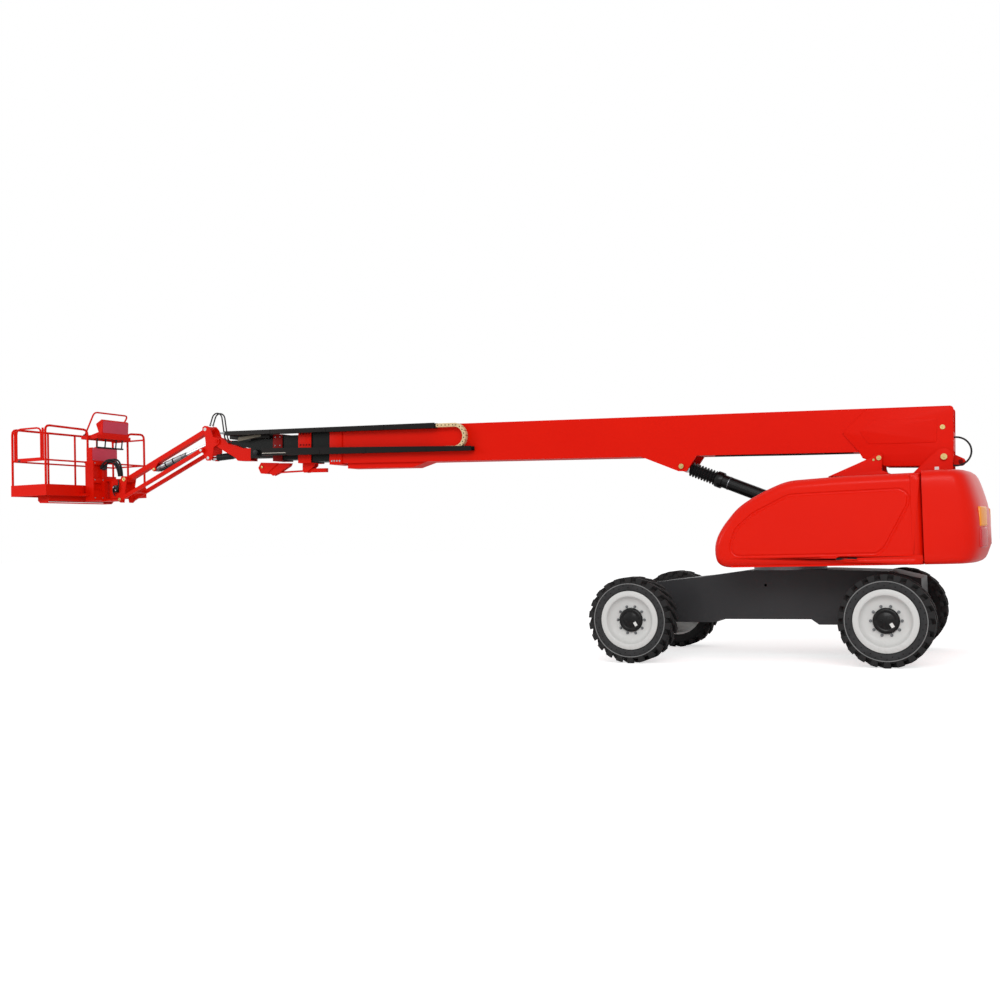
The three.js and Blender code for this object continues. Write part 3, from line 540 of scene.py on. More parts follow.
def turned(profile, centre, axis, sides=64, closed=False):
    """Spins a profile of (radius, distance along the axis) in millimetres round an axis."""
    axis = Vector(axis).normalized()
    side = axis.orthogonal().normalized()
    centre = Vector(centre)
    places = [centre + side * (r / 1000) + axis * (h / 1000) for r, h in profile]
    piece = as_mesh(drawn_line(places, closed))
    bpy.ops.object.mode_set(mode="EDIT")
    bpy.ops.mesh.select_all(action="SELECT")
    bpy.ops.mesh.spin(steps=sides, angle=2 * math.pi, center=centre, axis=axis)
    bpy.ops.mesh.select_all(action="SELECT")
    bpy.ops.mesh.remove_doubles(threshold=0.00002)
    bpy.ops.mesh.normals_make_consistent(inside=False)
    bpy.ops.object.mode_set(mode="OBJECT")
    bpy.ops.object.shade_smooth_by_angle(angle=math.radians(35))
    return piece


def plate(outline, thickness, edge=0.0, steps=2):
    """A flat plate from an outline in x and z, in metres, with its middle on y = 0.
    An outline may be a list of outlines: the first is the plate and the others its holes."""
    outlines = outline if isinstance(outline[0][0], (tuple, list, Vector)) else [outline]
    curve = bpy.data.curves.new("outline", "CURVE")
    curve.dimensions = "2D"
    curve.fill_mode = "BOTH"
    curve.extrude = thickness / 2000 - edge / 1000
    curve.bevel_depth = edge / 1000
    curve.offset = -edge / 1000
    curve.bevel_resolution = steps
    for points in outlines:
        spline = curve.splines.new("POLY")
        spline.points.add(len(points) - 1)
        for knot, (x, z) in zip(spline.points, points):
            knot.co = (x, z, 0, 1)
        spline.use_cyclic_u = True
    piece = bpy.data.objects.new("outline", curve)
    bpy.context.collection.objects.link(piece)
    piece = as_mesh(piece)
    piece.data.transform(Matrix.Rotation(math.pi / 2, 4, "X"))
    bpy.ops.object.mode_set(mode="EDIT")
    bpy.ops.mesh.select_all(action="SELECT")
    bpy.ops.mesh.remove_doubles(threshold=0.00001)
    bpy.ops.mesh.normals_make_consistent(inside=False)
    bpy.ops.object.mode_set(mode="OBJECT")
    bpy.ops.object.shade_smooth_by_angle(angle=math.radians(35))
    return piece


def shifted(piece, y):
    """Moves a piece along y, in millimetres."""
    piece.data.transform(Matrix.Translation((0, y / 1000, 0)))
    return piece


def tube(places, radius, bends=True, sides=4):
    """A round hose or rail through places in metres, its radius in millimetres."""
    line = drawn_line([Vector(p) for p in places])
    spline = line.data.splines[0]
    if bends:
        spline.type = "NURBS"
        spline.order_u = min(4, len(places))
        spline.use_endpoint_u = True
        spline.resolution_u = 6
    line.data.bevel_depth = radius / 1000
    line.data.bevel_resolution = sides
    line.data.use_fill_caps = True
    piece = as_mesh(line)
    bpy.ops.object.shade_smooth_by_angle(angle=math.radians(45))
    return piece


print("modelling helpers are ready")

# %% Rounded outlines
def filleted(points, radius, steps=6):
    """Rounds the corners of a closed outline. A point may carry its own radius."""
    result = []
    for i, point in enumerate(points):
        here = Vector(point[:2])
        r = point[2] if len(point) > 2 else radius
        back = Vector(points[i - 1][:2]) - here
        ahead = Vector(points[(i + 1) % len(points)][:2]) - here
        reach = min(r, back.length * 0.48, ahead.length * 0.48)
        if reach < 0.5:
            result.append(here)
            continue
        a, b = here + back.normalized() * reach, here + ahead.normalized() * reach
        for k in range(steps + 1):
            t = k / steps
            result.append(a * (1 - t) ** 2 + here * 2 * t * (1 - t) + b * t ** 2)
    return result


def on_side(points, place=at):
    """Turns an outline in millimetres into x and z in metres."""
    corners = [place(p[0], 0, p[1]) for p in points]
    return [(c.x, c.z) for c in corners]


def along_boom(points):
    return on_side(points, on_boom)


def mirrored(piece):
    """A copy of a piece on the other side of the machine."""
    twin = piece.copy()
    twin.data = piece.data.copy()
    bpy.context.collection.objects.link(twin)
    twin.data.transform(Matrix.Scale(-1, 4, (0, 1, 0)))
    twin.data.flip_normals()
    return twin


def carve(piece, cutter):
    """Cuts one closed shape out of another."""
    modify(piece, "BOOLEAN", operation="DIFFERENCE", solver="MANIFOLD", object=cutter)
    bpy.data.objects.remove(cutter)
    return piece

# %% [markdown]
# ## Wheels
# A boom lift stands on solid rubber tyres: a plain carcass with a raised ring on its sidewall,
# two staggered rows of breather holes and a heavy tread of shoulder blocks whose inner ends
# run in as slanted bars. One wheel is modelled in full on the left front hub. The tyre's
# section and the rim's are spun round the axle, because both are round; a single tread block
# is shaped from a cube and copied round. The finished wheel is then copied to the other hubs.

# %% The tyre's round body
hub = middle("tyre_front_left")
out = Vector((0, 1, 0))
carcass = turned([
    (356, -150), (380, -178), (420, -184), (448, -185), (468, -170), (482, -140), (486, -60),
    (486, 60), (482, 140), (468, 170), (450, 182), (440, 184), (400, 181), (372, 173),
    (364, 165), (356, 150)], hub, out, 96, closed=True)
bead = turned([(443, 182), (444, 189), (449, 192), (454, 189), (455, 182)], hub, out, 96, True)
print("tyre body:", len(carcass.data.polygons), "faces")

# %% One shoulder block and the bar that runs in from it
TREAD = 22
pick()
bpy.ops.mesh.primitive_cube_add(size=1, location=(0, 0, 0))
lug = bpy.context.object
bpy.ops.object.mode_set(mode="EDIT")
bpy.ops.mesh.select_all(action="SELECT")
bpy.ops.mesh.subdivide(number_cuts=3)
bpy.ops.object.mode_set(mode="OBJECT")
for v in lug.data.vertices:
    inward, across, rise = v.co.y + 0.5, v.co.x, v.co.z + 0.5
    wide = 43 - 6 * (1 - rise) - 13 * max(0.0, inward - 0.45)
    y = 190 - 172 * inward
    r = 456 + 72 * rise if inward < 0.3 else 480 + 48 * rise
    if inward < 0.05:
        y = 190.5 - 12 * rise ** 3
    angle = across * 2 * wide / 520 - 0.30 * max(0.0, inward - 0.25)
    v.co = Vector((r * math.sin(angle), y, r * math.cos(angle))) / 1000 + hub
soften(lug, 5, 2)
near_row = repeat(lug, [about(hub, "Y", i * 360 / TREAD) for i in range(TREAD)])
pick(near_row)
far_row = near_row.copy()
far_row.data = near_row.data.copy()
flip = Matrix.Translation(hub) @ Matrix.Rotation(math.pi, 4, "Z") @ Matrix.Translation(-hub)
far_row.data.transform(about(hub, "Y", 180 / TREAD) @ flip)
bpy.context.collection.objects.link(far_row)
print("tread:", 2 * TREAD, "blocks")

# %% Breather holes in two staggered rows
holes = []
for row, radius in ((0, 402), (1, 428)):
    hole = drum(hub + Vector((0, 0.1805 + 0.0015 * row, radius / 1000)), 6.5, 12, "Y", 6)
    holes.append(repeat(hole, [about(hub, "Y", (i + row / 2) * 360 / 21) for i in range(21)]))
breathers = merge(*holes)
tyre = merge(carcass, near_row, far_row)
sidewall = turned([(366, 168), (374, 174.5), (401, 183), (438, 185.4), (441, 184), (441, 176),
                   (366, 160)], hub, out, 96, closed=True)

# %% The rim: a broad flange, a dished centre and its ring of nuts
rim = turned([
    (357, -150), (357, 150), (361, 168), (360, 177), (352, 181), (318, 183), (300, 182),
    (293, 177), (288, 165), (282, 140), (262, 116), (236, 100), (204, 94), (146, 93),
    (146, 60), (300, 60), (330, 40), (334, -150)], hub, out, 96, closed=True)
nut = drum(hub + Vector((0, 0.103, 0.17)), 14, 22, "Y", 6)
soften(nut, 2, 1)
stud = drum(hub + Vector((0, 0.112, 0.17)), 7, 26, "Y", 12)
soften(stud, 1.5, 1)
washer = drum(hub + Vector((0, 0.0955, 0.17)), 18, 5, "Y", 20)
nuts = repeat(merge(nut, stud, washer), [about(hub, "Y", 18 + i * 36) for i in range(10)])
cap = turned([
    (0, 134), (88, 134), (94, 130), (100, 130), (106, 134), (132, 134), (142, 128), (147, 118),
    (149, 100), (149, 62), (0, 62)], hub, out, 64)
plug = drum(hub + Vector((0.052, 0.135, 0.0)), 9, 6, "Y", 6)
soften(plug, 1, 1)
print("rim:", len(rim.data.polygons), "faces,", len(nuts.data.polygons), "on its nuts")

# %% Sidewall rubber, a light grey bead, black breather holes, nuts and a label
hole_black = polymer("tyre_breather_shadow", "#0C0C0C", "#141414", 0.9, 5.0, 0.1)
label_white = polymer("blank_label_vinyl", "#E8E8E6", "#DCDCD8", 0.5, 6.0, 0.05)
side_rubber = polymer("sidewall_rubber", "#3C3C3D", "#232324", 0.75, 14.0, 0.6)
# A light grey rubber for the raised bead ring on the sidewall.
light_grey_bead_rubber = polymer("light_grey_tyre_bead", "#8C8C8C", "#6E6E6E", 0.7, 6.0, 0.2)
nut_steel = metal("zinc_plated_nuts", "#9C9EA0", "#5C5E60", 0.35, 6.0)
label = block(hub + Vector((-0.082, 0.1339, -0.075)), hub + Vector((-0.045, 0.1352, -0.022)))
soften(label, 1, 1)
label.data.transform(about(hub + Vector((-0.063, 0.134, -0.048)), "Y", 30))
wheel_parts = [
    ("tyre", tyre, tyre_rubber), ("tyre_bead", bead, light_grey_bead_rubber),
    ("tyre_sidewall", sidewall, side_rubber),
    ("tyre_holes", breathers, hole_black),
    ("rim", rim, rim_enamel), ("wheel_nuts", nuts, nut_steel),
    ("hub_cap", merge(cap, plug), barrel_enamel), ("hub_label", label, label_white)]

# %% Copy the wheel to all four hubs
for end in ("front", "rear"):
    for side in ("left", "right"):
        shift = Matrix.Translation(middle(f"tyre_{end}_{side}"))
        if side == "right":
            shift = shift @ Matrix.Rotation(math.pi, 4, "Z")
        for kind, part, finish in wheel_parts:
            if kind == "hub_label" and (end, side) == ("front", "right"):
                continue
            twin = part.copy()
            twin.data = part.data.copy()
            bpy.context.collection.objects.link(twin)
            twin.data.transform(shift @ Matrix.Translation(-hub))
            settle(twin, f"{kind}_{end}_{side}_piece", finish, f"wheel_{end}_{side}")
            if kind in ("tyre", "rim"):
                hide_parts(f"{kind}_{end}_{side}")
for kind, part, finish in wheel_parts:
    bpy.data.objects.remove(part)
print("four wheels stand on the ground")

# %% [markdown]
# ## Hoods
# The engine and the tanks sit under two moulded hoods. A hood is a shell of glass fibre with
# very soft outer edges and a stamped crease that stiffens its side. The rounded plate below is
# cut off at its inner side while it is still solid; the crease is cut with a bent round bar,
# because that gives a groove with soft walls. Then the inner face is taken away and the skin
# is given its thickness. A latch sits in a slot low on the side. The other hood mirrors it.

# %% Hood shell
hood_line = filleted([
    (-1930, 1157, 12), (285, 1157, 60), (355, 1175, 60), (408, 1222, 60), (428, 1300, 80),
    (430, 1418, 80), (395, 1530, 90), (325, 1650, 90), (156, 1851, 90), (2, 1958, 90),
    (-209, 2064, 90), (-449, 2161, 120), (-1136, 2188, 120), (-1930, 2188, 20)], 60)
hood = shifted(plate(on_side(hood_line), 1060, edge=105, steps=6), 690)
pick(hood)
bpy.ops.object.mode_set(mode="EDIT")
bpy.ops.mesh.select_all(action="SELECT")
bpy.ops.mesh.bisect(
    plane_co=(0, 0.4, 0), plane_no=(0, 1, 0), clear_inner=True, use_fill=True)
bpy.ops.mesh.select_all(action="SELECT")
bpy.ops.mesh.normals_make_consistent(inside=False)
bpy.ops.object.mode_set(mode="OBJECT")
print("hood:", len(hood.data.polygons), "faces while solid")

# %% Stamped crease and the slot for the latch
crease_line = filleted([
    (-61, 1791), (153, 1615), (219, 1430), (219, 1340), (150, 1287), (-1440, 1287),
    (-1520, 1345), (-1795, 1845), (-1795, 1950), (-1715, 2008), (-558, 1991), (-470, 1985)], 70)
crease = drawn_line([(x, 1.2262, z) for x, z in on_side(crease_line)], closed=True)
crease.data.bevel_depth = 0.0195
crease.data.bevel_resolution = 3
crease = as_mesh(crease)
carve(hood, crease)
carve(hood, block(at(-1230, 1211, 1222), at(-985, 1240, 1254)))
pick(hood)
bpy.ops.object.mode_set(mode="EDIT")
bpy.ops.mesh.select_all(action="DESELECT")
bpy.ops.object.mode_set(mode="OBJECT")
for face in hood.data.polygons:
    face.select = abs(face.center.y - 0.4) < 0.0005 and abs(face.normal.y) > 0.99
bpy.ops.object.mode_set(mode="EDIT")
bpy.ops.mesh.delete(type="FACE")
bpy.ops.object.mode_set(mode="OBJECT")
modify(hood, "SOLIDIFY", thickness=0.012, offset=-1)
bpy.ops.object.shade_smooth_by_angle(angle=math.radians(32))
modify(hood, "WEIGHTED_NORMAL", keep_sharp=True, weight=80)
latch = block(at(-1226, 1210.6, 1226), at(-989, 1213, 1250))
paddle = soften(block(at(-1140, 1212, 1230), at(-1060, 1219, 1246)), 2, 2)
latch = merge(latch, paddle)
other_hood, other_latch = mirrored(hood), mirrored(latch)
for side, shell, catch in (("left", hood, latch), ("right", other_hood, other_latch)):
    settle(shell, f"hood_{side}_piece", hood_enamel, f"hood_{side}")
    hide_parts(f"hood_{side}")
    settle(catch, f"hood_{side}_latch", black_plastic, f"hood_{side}")
print("hoods:", len(hood.data.polygons), "faces each")

# %% [markdown]
# ## Counterweight
# The tail is one casting with soft corners that bulges towards its middle. Its plan is drawn
# as an open line from seam to seam, raised in steps, and each step is then given its own depth
# and width, as on a drawing with sections. A notch in front clears the frame.

# %% Casting
def smoothed(points, times=3):
    """Cuts the corners of an open line again and again, keeping its two ends."""
    for _ in range(times):
        line = [points[0]]
        for a, b in zip(points, points[1:]):
            line += [tuple(p * 0.75 + q * 0.25 for p, q in zip(a, b)),
                     tuple(p * 0.25 + q * 0.75 for p, q in zip(a, b))]
        points = line + [points[-1]]
    return points


SEAM, TAIL = -1938, -2601
plan = smoothed([
    (SEAM, -1205), (-2200, -1203), (-2430, -1150), (-2530, -960), (-2580, -600), (-2601, -250),
    (-2601, 250), (-2580, 600), (-2530, 960), (-2430, 1150), (-2200, 1203), (SEAM, 1205)])
sections = [
    (1157, -2440, 1130), (1160, -2475, 1150), (1172, -2505, 1178), (1195, -2532, 1197),
    (1230, -2552, 1204), (1330, -2590, 1205), (1440, -2599, 1205), (1540, -2601, 1205),
    (1640, -2599, 1205), (1740, -2592, 1205), (1830, -2577, 1205), (1920, -2555, 1205),
    (2010, -2530, 1205), (2090, -2504, 1202), (2140, -2484, 1192), (2175, -2462, 1174),
    (2198, -2430, 1146), (2208, -2395, 1118), (2211, -2350, 1085)]
tail = as_mesh(drawn_line([at(x, y, sections[0][0]) for x, y in plan], closed=True))
bpy.ops.object.mode_set(mode="EDIT")
bpy.ops.mesh.select_all(action="SELECT")
bpy.ops.mesh.edge_face_add()
for below, above in zip(sections, sections[1:]):
    bpy.ops.mesh.extrude_region_move(
        TRANSFORM_OT_translate={"value": (0, 0, (above[0] - below[0]) / 1000)})
bpy.ops.mesh.select_all(action="SELECT")
bpy.ops.mesh.normals_make_consistent(inside=False)
bpy.ops.object.mode_set(mode="OBJECT")
seam_x, tail_x = at(SEAM, 0, 0).x, at(TAIL, 0, 0).x
for vertex in tail.data.vertices:
    height, back, wide = min(sections, key=lambda s: abs(s[0] / 1000 - vertex.co.z))
    depth = (at(back, 0, 0).x - seam_x) / (tail_x - seam_x)
    vertex.co.x = seam_x + (vertex.co.x - seam_x) * depth
    vertex.co.y *= wide / 1205
carve(tail, block(at(-2290, -400, 1100), at(-1900, 400, 2300)))
carve(tail, block(at(-2400, -400, 2050), at(-1900, 400, 2300)))
carve(tail, block(at(-2420, 60, 2050), at(-1900, 160, 2300)))
bpy.ops.object.shade_smooth_by_angle(angle=math.radians(35))
settle(tail, "counterweight_piece", hood_enamel, "turntable")
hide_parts("counterweight")
print("counterweight:", len(tail.data.polygons), "faces")

# %% Tail lights on the rear corners: amber above red
def lens(name, colour, shade, glow):
    material, tree = empty_material(name)
    place = add(tree, "ShaderNodeTexCoord")
    ribs = add(tree, "ShaderNodeTexWave", {
        "Vector": place.outputs["Object"], "Scale": 60.0, "Distortion": 0.0},
        wave_type="BANDS", bands_direction="Z")
    tint = add(tree, "ShaderNodeMix", {
        "Factor": ribs.outputs["Fac"], 6: linear(colour), 7: linear(shade)}, data_type="RGBA")
    bump = add(tree, "ShaderNodeBump", {
        "Height": ribs.outputs["Fac"], "Strength": 0.4, "Distance": 0.001})
    shader = add(tree, "ShaderNodeBsdfPrincipled", {
        "Base Color": tint.outputs[2], "Roughness": 0.15, "Normal": bump.outputs[0],
        "Emission Color": linear(colour), "Emission Strength": glow})
    add(tree, "ShaderNodeOutputMaterial", {"Surface": shader.outputs[0]})
    return material


amber_lens = lens("amber_lens", "#F29A1E", "#D97C10", 0.12)
red_lens = lens("red_lens", "#D3262C", "#A8161C", 0.08)
lamp_corner = at(-2538, 830, 0)
for low, high, finish, kind in ((1330, 1560, red_lens, "stop"), (1566, 1790, amber_lens, "turn")):
    glass = soften(block(lamp_corner + Vector((-0.03, -0.09, low / 1000)),
                         lamp_corner + Vector((0.03, 0.14, high / 1000))), 22, 4)
    glass.data.transform(about(lamp_corner, "Z", -16))
    twin = mirrored(glass)
    settle(glass, f"{kind}_lamp_left", finish, "turntable")
    settle(twin, f"{kind}_lamp_right", finish, "turntable")
print("tail lights fitted")

# %% [markdown]
# ## Rear end of the boom
# A doubler plate with an arrow-shaped end is welded over the side of the boom, and a shallow
# panel is pressed into it. Heavy pins hold the boom and its bracket; each has a plated head
# with a keeper bolt. The plate is an outline with a rounded edge, which is what catches light.

# %% Doubler, pressed panel and the frame's bracket plates
doubler = shifted(plate(along_boom(filleted([
    (-100, 596, 70), (892, 596, 30), (1160, 315, 40), (968, 92, 60), (925, 5, 30),
    (664, -94, 40), (300, -100, 20), (110, -92, 20), (60, -104, 60), (-60, -90, 60),
    (-98, 60, 10)], 10)), 8, edge=3.5), 214)
panel = shifted(plate(along_boom(filleted([
    (85, 460), (772, 474), (972, 340), (865, 178), (560, 172), (85, 176)], 26)),
    8, edge=3.5, steps=3), 220)
weld = tube([on_boom(x, 212, z) for x, z in
             ((880, 606), (1160, 318), (1148, 300), (985, 105))], 7, bends=False)
cheek_plate = shifted(plate(on_side(filleted([
    (-1500, 2212), (-790, 2226), (-1306, 2433, 60), (-1360, 2464, 40), (-1403, 2474, 40),
    (-1436, 2458, 30), (-1425, 2272), (-1500, 2240)], 8)), 8, edge=3.5), 268)
pivot_plate = shifted(plate(on_side(filleted([
    (-2228, 2206), (-2228, 2400, 90), (-2180, 2500, 90), (-2080, 2500, 60),
    (-1990, 2416, 20), (-1800, 2228, 8)], 8)), 8, edge=3.5), 268)
for name, piece, body in (
        ("boom_doubler", doubler, "boom_base"), ("boom_panel", panel, "boom_base"),
        ("boom_weld", weld, "boom_base"), ("bracket_plate", cheek_plate, "turntable"),
        ("pivot_plate", pivot_plate, "turntable")):
    twin = mirrored(piece)
    settle(piece, f"{name}_left", red_enamel, body)
    settle(twin, f"{name}_right", red_enamel, body)

# %% Pin heads: a turned disc with a keeper and its bolt
def pin_head(centre, radius, height):
    side = Vector((0, math.copysign(1, centre.y), 0))
    r, h = radius, height
    disc = turned([(0, -2), (r, -2), (r, h - 3), (r - 3, h), (r * 0.62, h), (r * 0.55, h - 2),
                   (0, h - 2)], centre, side, 40)
    bolt = drum(centre + side * (h + 2) / 1000, r * 0.3, 9, "Y", 6)
    soften(bolt, 1.5, 1)
    return merge(disc, bolt)


for name, place, radius, height, finish, body in (
        ("pivot_pin", at(-2133, 290, 2398), 38, 14, zinc_yellow, "turntable"),
        ("rear_sheave_pin", on_boom(18, 218, 357), 30, 10, zinc_yellow, "boom_base"),
        ("bracket_pin", at(-1398, 272, 2424), 30, 12, zinc_yellow, "turntable"),
        ("bracket_keeper", at(-1336, 272, 2404), 15, 8, zinc_yellow, "turntable"),
        # The ear pins sit inside the boom's rear and take the darker red that paints their shade.
        ("ear_pin", on_boom(-175, 60, -47), 26, 8, painted_shade_red_enamel, "boom_base")):
    head = pin_head(place, radius, height)
    twin = mirrored(head)
    settle(head, f"{name}_left", finish, body)
    settle(twin, f"{name}_right", finish, body)
settle(
    soften(block(at(-2072, 272, 2216), at(-2024, 273.5, 2284)), 0.5, 1), "pivot_label",
    label_white, "turntable")
print("pins and plates on the boom's rear end")

# %% [markdown]
# ## Lift cylinder boot
# The polished rod is kept clean by a rubber boot. It is a profile of folds spun round the
# cylinder, left where it is made and tied to neither the barrel nor the rod. A clamp closes it
# on the barrel.

# %% Folded boot
lift_foot = Vector(joints["lift_barrel_swing"]["pos_m"])
lift_line = Vector(joints["lift_rod_slide"]["axis"]).normalized()
folds = []
FIRST, LAST, COUNT = 1748, 2112, 9
for i in range(COUNT):
    start = FIRST + (LAST - FIRST) * i / COUNT
    step = (LAST - FIRST) / COUNT
    folds += [(62, start + 2), (66, start + step * 0.15), (93, start + step * 0.42),
              (96, start + step * 0.5), (93, start + step * 0.58), (66, start + step * 0.85)]
folds += [(62, LAST), (54, LAST), (54, FIRST)]
boot = turned(folds, lift_foot, lift_line, 48, closed=True)
boot.name = boot.data.name = "lift_boot"
boot.data.materials.append(hose_rubber)
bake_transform(boot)
clamp = turned([(86, 1655), (104, 1655), (106, 1660), (106, 1736), (103, 1742), (60, 1742),
                (60, 1750), (56, 1750), (56, 1700), (86, 1700)], lift_foot, lift_line, 48, True)
settle(clamp, "lift_clamp", barrel_enamel, "lift_barrel")
gland = turned([(86.2, 1560), (90, 1562), (90, 1572), (86.2, 1574)], lift_foot, lift_line, 48,
               True)
settle(gland, "lift_gland", machined_steel, "lift_barrel")
print("boot:", len(boot.data.polygons), "faces")

# %% [markdown]
# ## Telescope front
# Each section ends in a collar that holds the wear pads of the next one. The pads are set with
# rows of bolts, and the second collar is painted red like the boom. The third collar is coloured a
# darker red that paints the shade it stands in. A plastic energy chain rolls between two trays
# at the side and feeds the hoses to the jib.

# %% Collars with their rows of bolts
def collar(name, along, low, high, y, finish, body):
    """Four plates round the boom; the two sides have soft edges."""
    start, end = along
    side = shifted(plate(along_boom([(start, low), (end, low), (end, high), (start, high)]),
                         6, edge=2), y + 2)
    other = mirrored(side)
    top = block((0, 0, 0), ((end - start) / 1000, 2 * y / 1000, 0.006))
    turn = Matrix((boom_along, (0, 1, 0), boom_up)).transposed().to_4x4()
    under = top.copy()
    under.data = top.data.copy()
    bpy.context.collection.objects.link(under)
    top.data.transform(Matrix.Translation(on_boom(start, -y, high - 3)) @ turn)
    under.data.transform(Matrix.Translation(on_boom(start, -y, low - 3)) @ turn)
    settle(merge(side, other, top, under), name, finish, body)


def bolt_rows(name, places, y, finish, body, radius=11):
    """Hexagon heads standing on a side face, and the same on the other side."""
    first = drum(on_boom(places[0][0], y + 4, places[0][1]), radius, 10, "Y", 6)
    soften(first, 1.5, 1)
    washer = drum(on_boom(places[0][0], y + 1, places[0][1]), radius * 1.3, 4, "Y", 16)
    first = merge(first, washer)
    origin = on_boom(places[0][0], 0, places[0][1])
    heads = repeat(first, [Matrix.Translation(on_boom(u, 0, w) - origin) for u, w in places])
    both = merge(heads, mirrored(heads))
    settle(both, name, finish, body)


collar("collar_second", (8950, 9185), 103, 590, 180, red_enamel, "boom_second")
# The third collar takes the darker red that paints the shade it stands in.
collar("collar_third", (9500, 9675), 144, 549, 144, painted_shade_red_enamel, "boom_third")
collar("collar_base", (8385, 8600), 68, 625, 212, red_enamel, "boom_base")
base_bolts = [(u, w) for u in (8420, 8465, 8510, 8555) for w in (118, 590)]
second_bolts = [(u, w) for u in (8985, 9035, 9085, 9140) for w in (375, 545)]
bolt_rows("base_collar_bolts", base_bolts, 217, galvanised, "boom_base")
# The second collar's bolt heads take the same darker red.
bolt_rows("second_collar_bolts", second_bolts, 185, painted_shade_red_enamel, "boom_second")
bolt_rows("third_collar_bolts", [(u, w) for u in (9540, 9630) for w in (380, 510)], 149,
          machined_steel, "boom_third", 9)
print("collars and bolts fitted")

# %% Energy chain: one link, laid along the two runs and round the bend
BEND, ROLL = (6470, 425), 162
PITCH = 60.0
link = plate([(-0.028, -0.026), (0.028, -0.026), (0.031, -0.012), (0.031, 0.012),
              (0.028, 0.026), (-0.028, 0.026), (-0.031, 0.012), (-0.031, -0.012)], 78, edge=3)
eye = drum((0, 0.039, 0), 9, 4, "Y", 12)
eye_far = drum((0, -0.039, 0), 9, 4, "Y", 12)
gap = block((0.0305, -0.036, -0.02), (0.0315, 0.036, 0.02))
spots = merge(eye, eye_far, gap)
stations = [(6725 - PITCH * i, BEND[1] + ROLL, 0) for i in range(5)]
for i in range(8):
    angle = 90 + (i + 0.6) * 21.2
    stations.append((BEND[0] + ROLL * math.cos(math.radians(angle)),
                     BEND[1] + ROLL * math.sin(math.radians(angle)), 90 - angle))
stations += [(6500 + PITCH * i, BEND[1] - ROLL, 180) for i in range(7)]
slope = math.degrees(math.atan2(boom_along.z, boom_along.x))
turns = [Matrix.Translation(on_boom(u, 276, w)) @ Matrix.Rotation(
    math.radians(a - slope), 4, "Y") for u, w, a in stations]
chain = repeat(link, turns)
marks = repeat(spots, turns)
settle(chain, "hose_chain_piece", chain_nylon, "hose_chain")
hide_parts("hose_chain")
settle(marks, "hose_chain_eyes", black_plastic, "hose_chain")
print("chain:", len(turns), "links")

# %% Trays: splice plates, a pale strip that paints the highlight on the lower tray's edge, and the wedge below them
edge_highlight_metal = metal("painted_edge_highlight", "#A8A49A", "#8A867E", 0.4, 12.0)
olive_enamel = enamel("olive_grey_enamel", "#7A7264", "#6A6256", "#4A4742", 0.45, 0.0)
# A thin pale strip on the lower tray's bottom edge: it paints the highlight that the edge catches.
strip = soften(block((0, 0, 0), (0.43, 0.004, 0.012)), 1.5, 1)
turn = Matrix((boom_along, (0, 1, 0), boom_up)).transposed().to_4x4()
strip.data.transform(Matrix.Translation(on_boom(9310, 330, 248)) @ turn)
settle(strip, "tray_strip", edge_highlight_metal, "boom_base")
for i, u in enumerate((6900, 7900, 8700)):
    splice = soften(block((0, 0, 0), (0.07, 0.004, 0.056)), 1.5, 1)
    splice.data.transform(Matrix.Translation(on_boom(u, 330, 221)) @ turn)
    settle(splice, f"lower_splice_{i}", tray_enamel, "boom_base")
for i, u in enumerate((7600, 8600, 9600)):
    splice = soften(block((0, 0, 0), (0.07, 0.004, 0.055)), 1.5, 1)
    splice.data.transform(Matrix.Translation(on_boom(u, 330, 553)) @ turn)
    settle(splice, f"upper_splice_{i}", tray_enamel, "boom_second")
cover = shifted(plate(along_boom(filleted([
    (9700, 497, 5), (9700, 588), (10420, 596), (10462, 565), (10462, 497, 5)], 26)), 270,
    edge=5), 65)
settle(cover, "fly_hose_cover", tray_enamel, "boom_fly")
wedge = shifted(plate(along_boom(filleted([
    (9850, 528), (9880, 560), (10290, 522), (10300, 458)], 8)), 5, edge=2), 204)
settle(wedge, "tray_wedge", olive_enamel, "boom_fly")
roller = turned([(0, -32), (34, -32), (44, -26), (46, 0), (44, 26), (34, 32), (12, 32), (12, 36),
                 (0, 36)], on_boom(10003, 128, 284), (0, 1, 0), 32)
settle(roller, "fly_roller", black_plastic, "boom_fly")
jib_fittings = [
    soften(drum(on_boom(10505, y, 588), 17, 90, "X", 6), 2, 1) for y in (240, 276, 312)]
settle(merge(*jib_fittings), "tray_end_fittings", galvanised, "boom_second")
under_hoses = [
    tube([on_boom(1050, y, 76), on_boom(1500, y, 66), on_boom(2100, y, 72),
          on_boom(2770, y, 74)], 9) for y in (120, 150)]
settle(merge(*under_hoses), "under_boom_pipes", hose_rubber, "boom_base")
print("trays, cover and roller fitted")

# %% [markdown]
# ## Jib
# The jib is a pair of long arms between the head and the platform bracket. Every pivot shows
# a turned pin head. The levelling cylinder's rod wears a boot like the lift cylinder's, and
# the jib cylinder is bright, with its hoses strapped along the underside.

# %% Boot on the levelling cylinder
level_foot = Vector(joints["level_barrel_swing"]["pos_m"])
level_line = Vector(joints["level_rod_slide"]["axis"]).normalized()
folds = []
FIRST, LAST, COUNT = 1084, 1400, 11
step = (LAST - FIRST) / COUNT
for i in range(COUNT):
    start = FIRST + step * i
    folds += [(40, start + 1), (42, start + step * 0.15), (54, start + step * 0.42),
              (55, start + step * 0.5), (54, start + step * 0.58), (42, start + step * 0.85)]
folds += [(36, LAST), (34, LAST), (34, FIRST)]
level_boot = turned(folds, level_foot, level_line, 40, closed=True)
level_boot.name = level_boot.data.name = "level_boot"
level_boot.data.materials.append(hose_rubber)
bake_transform(level_boot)
cap = turned([(44.2, 1010), (50, 1012), (50, 1068), (46, 1074), (44.2, 1074)], level_foot,
             level_line, 40, closed=True)
settle(cap, "level_clamp", barrel_enamel, "level_barrel")
print("levelling boot:", len(level_boot.data.polygons), "faces")
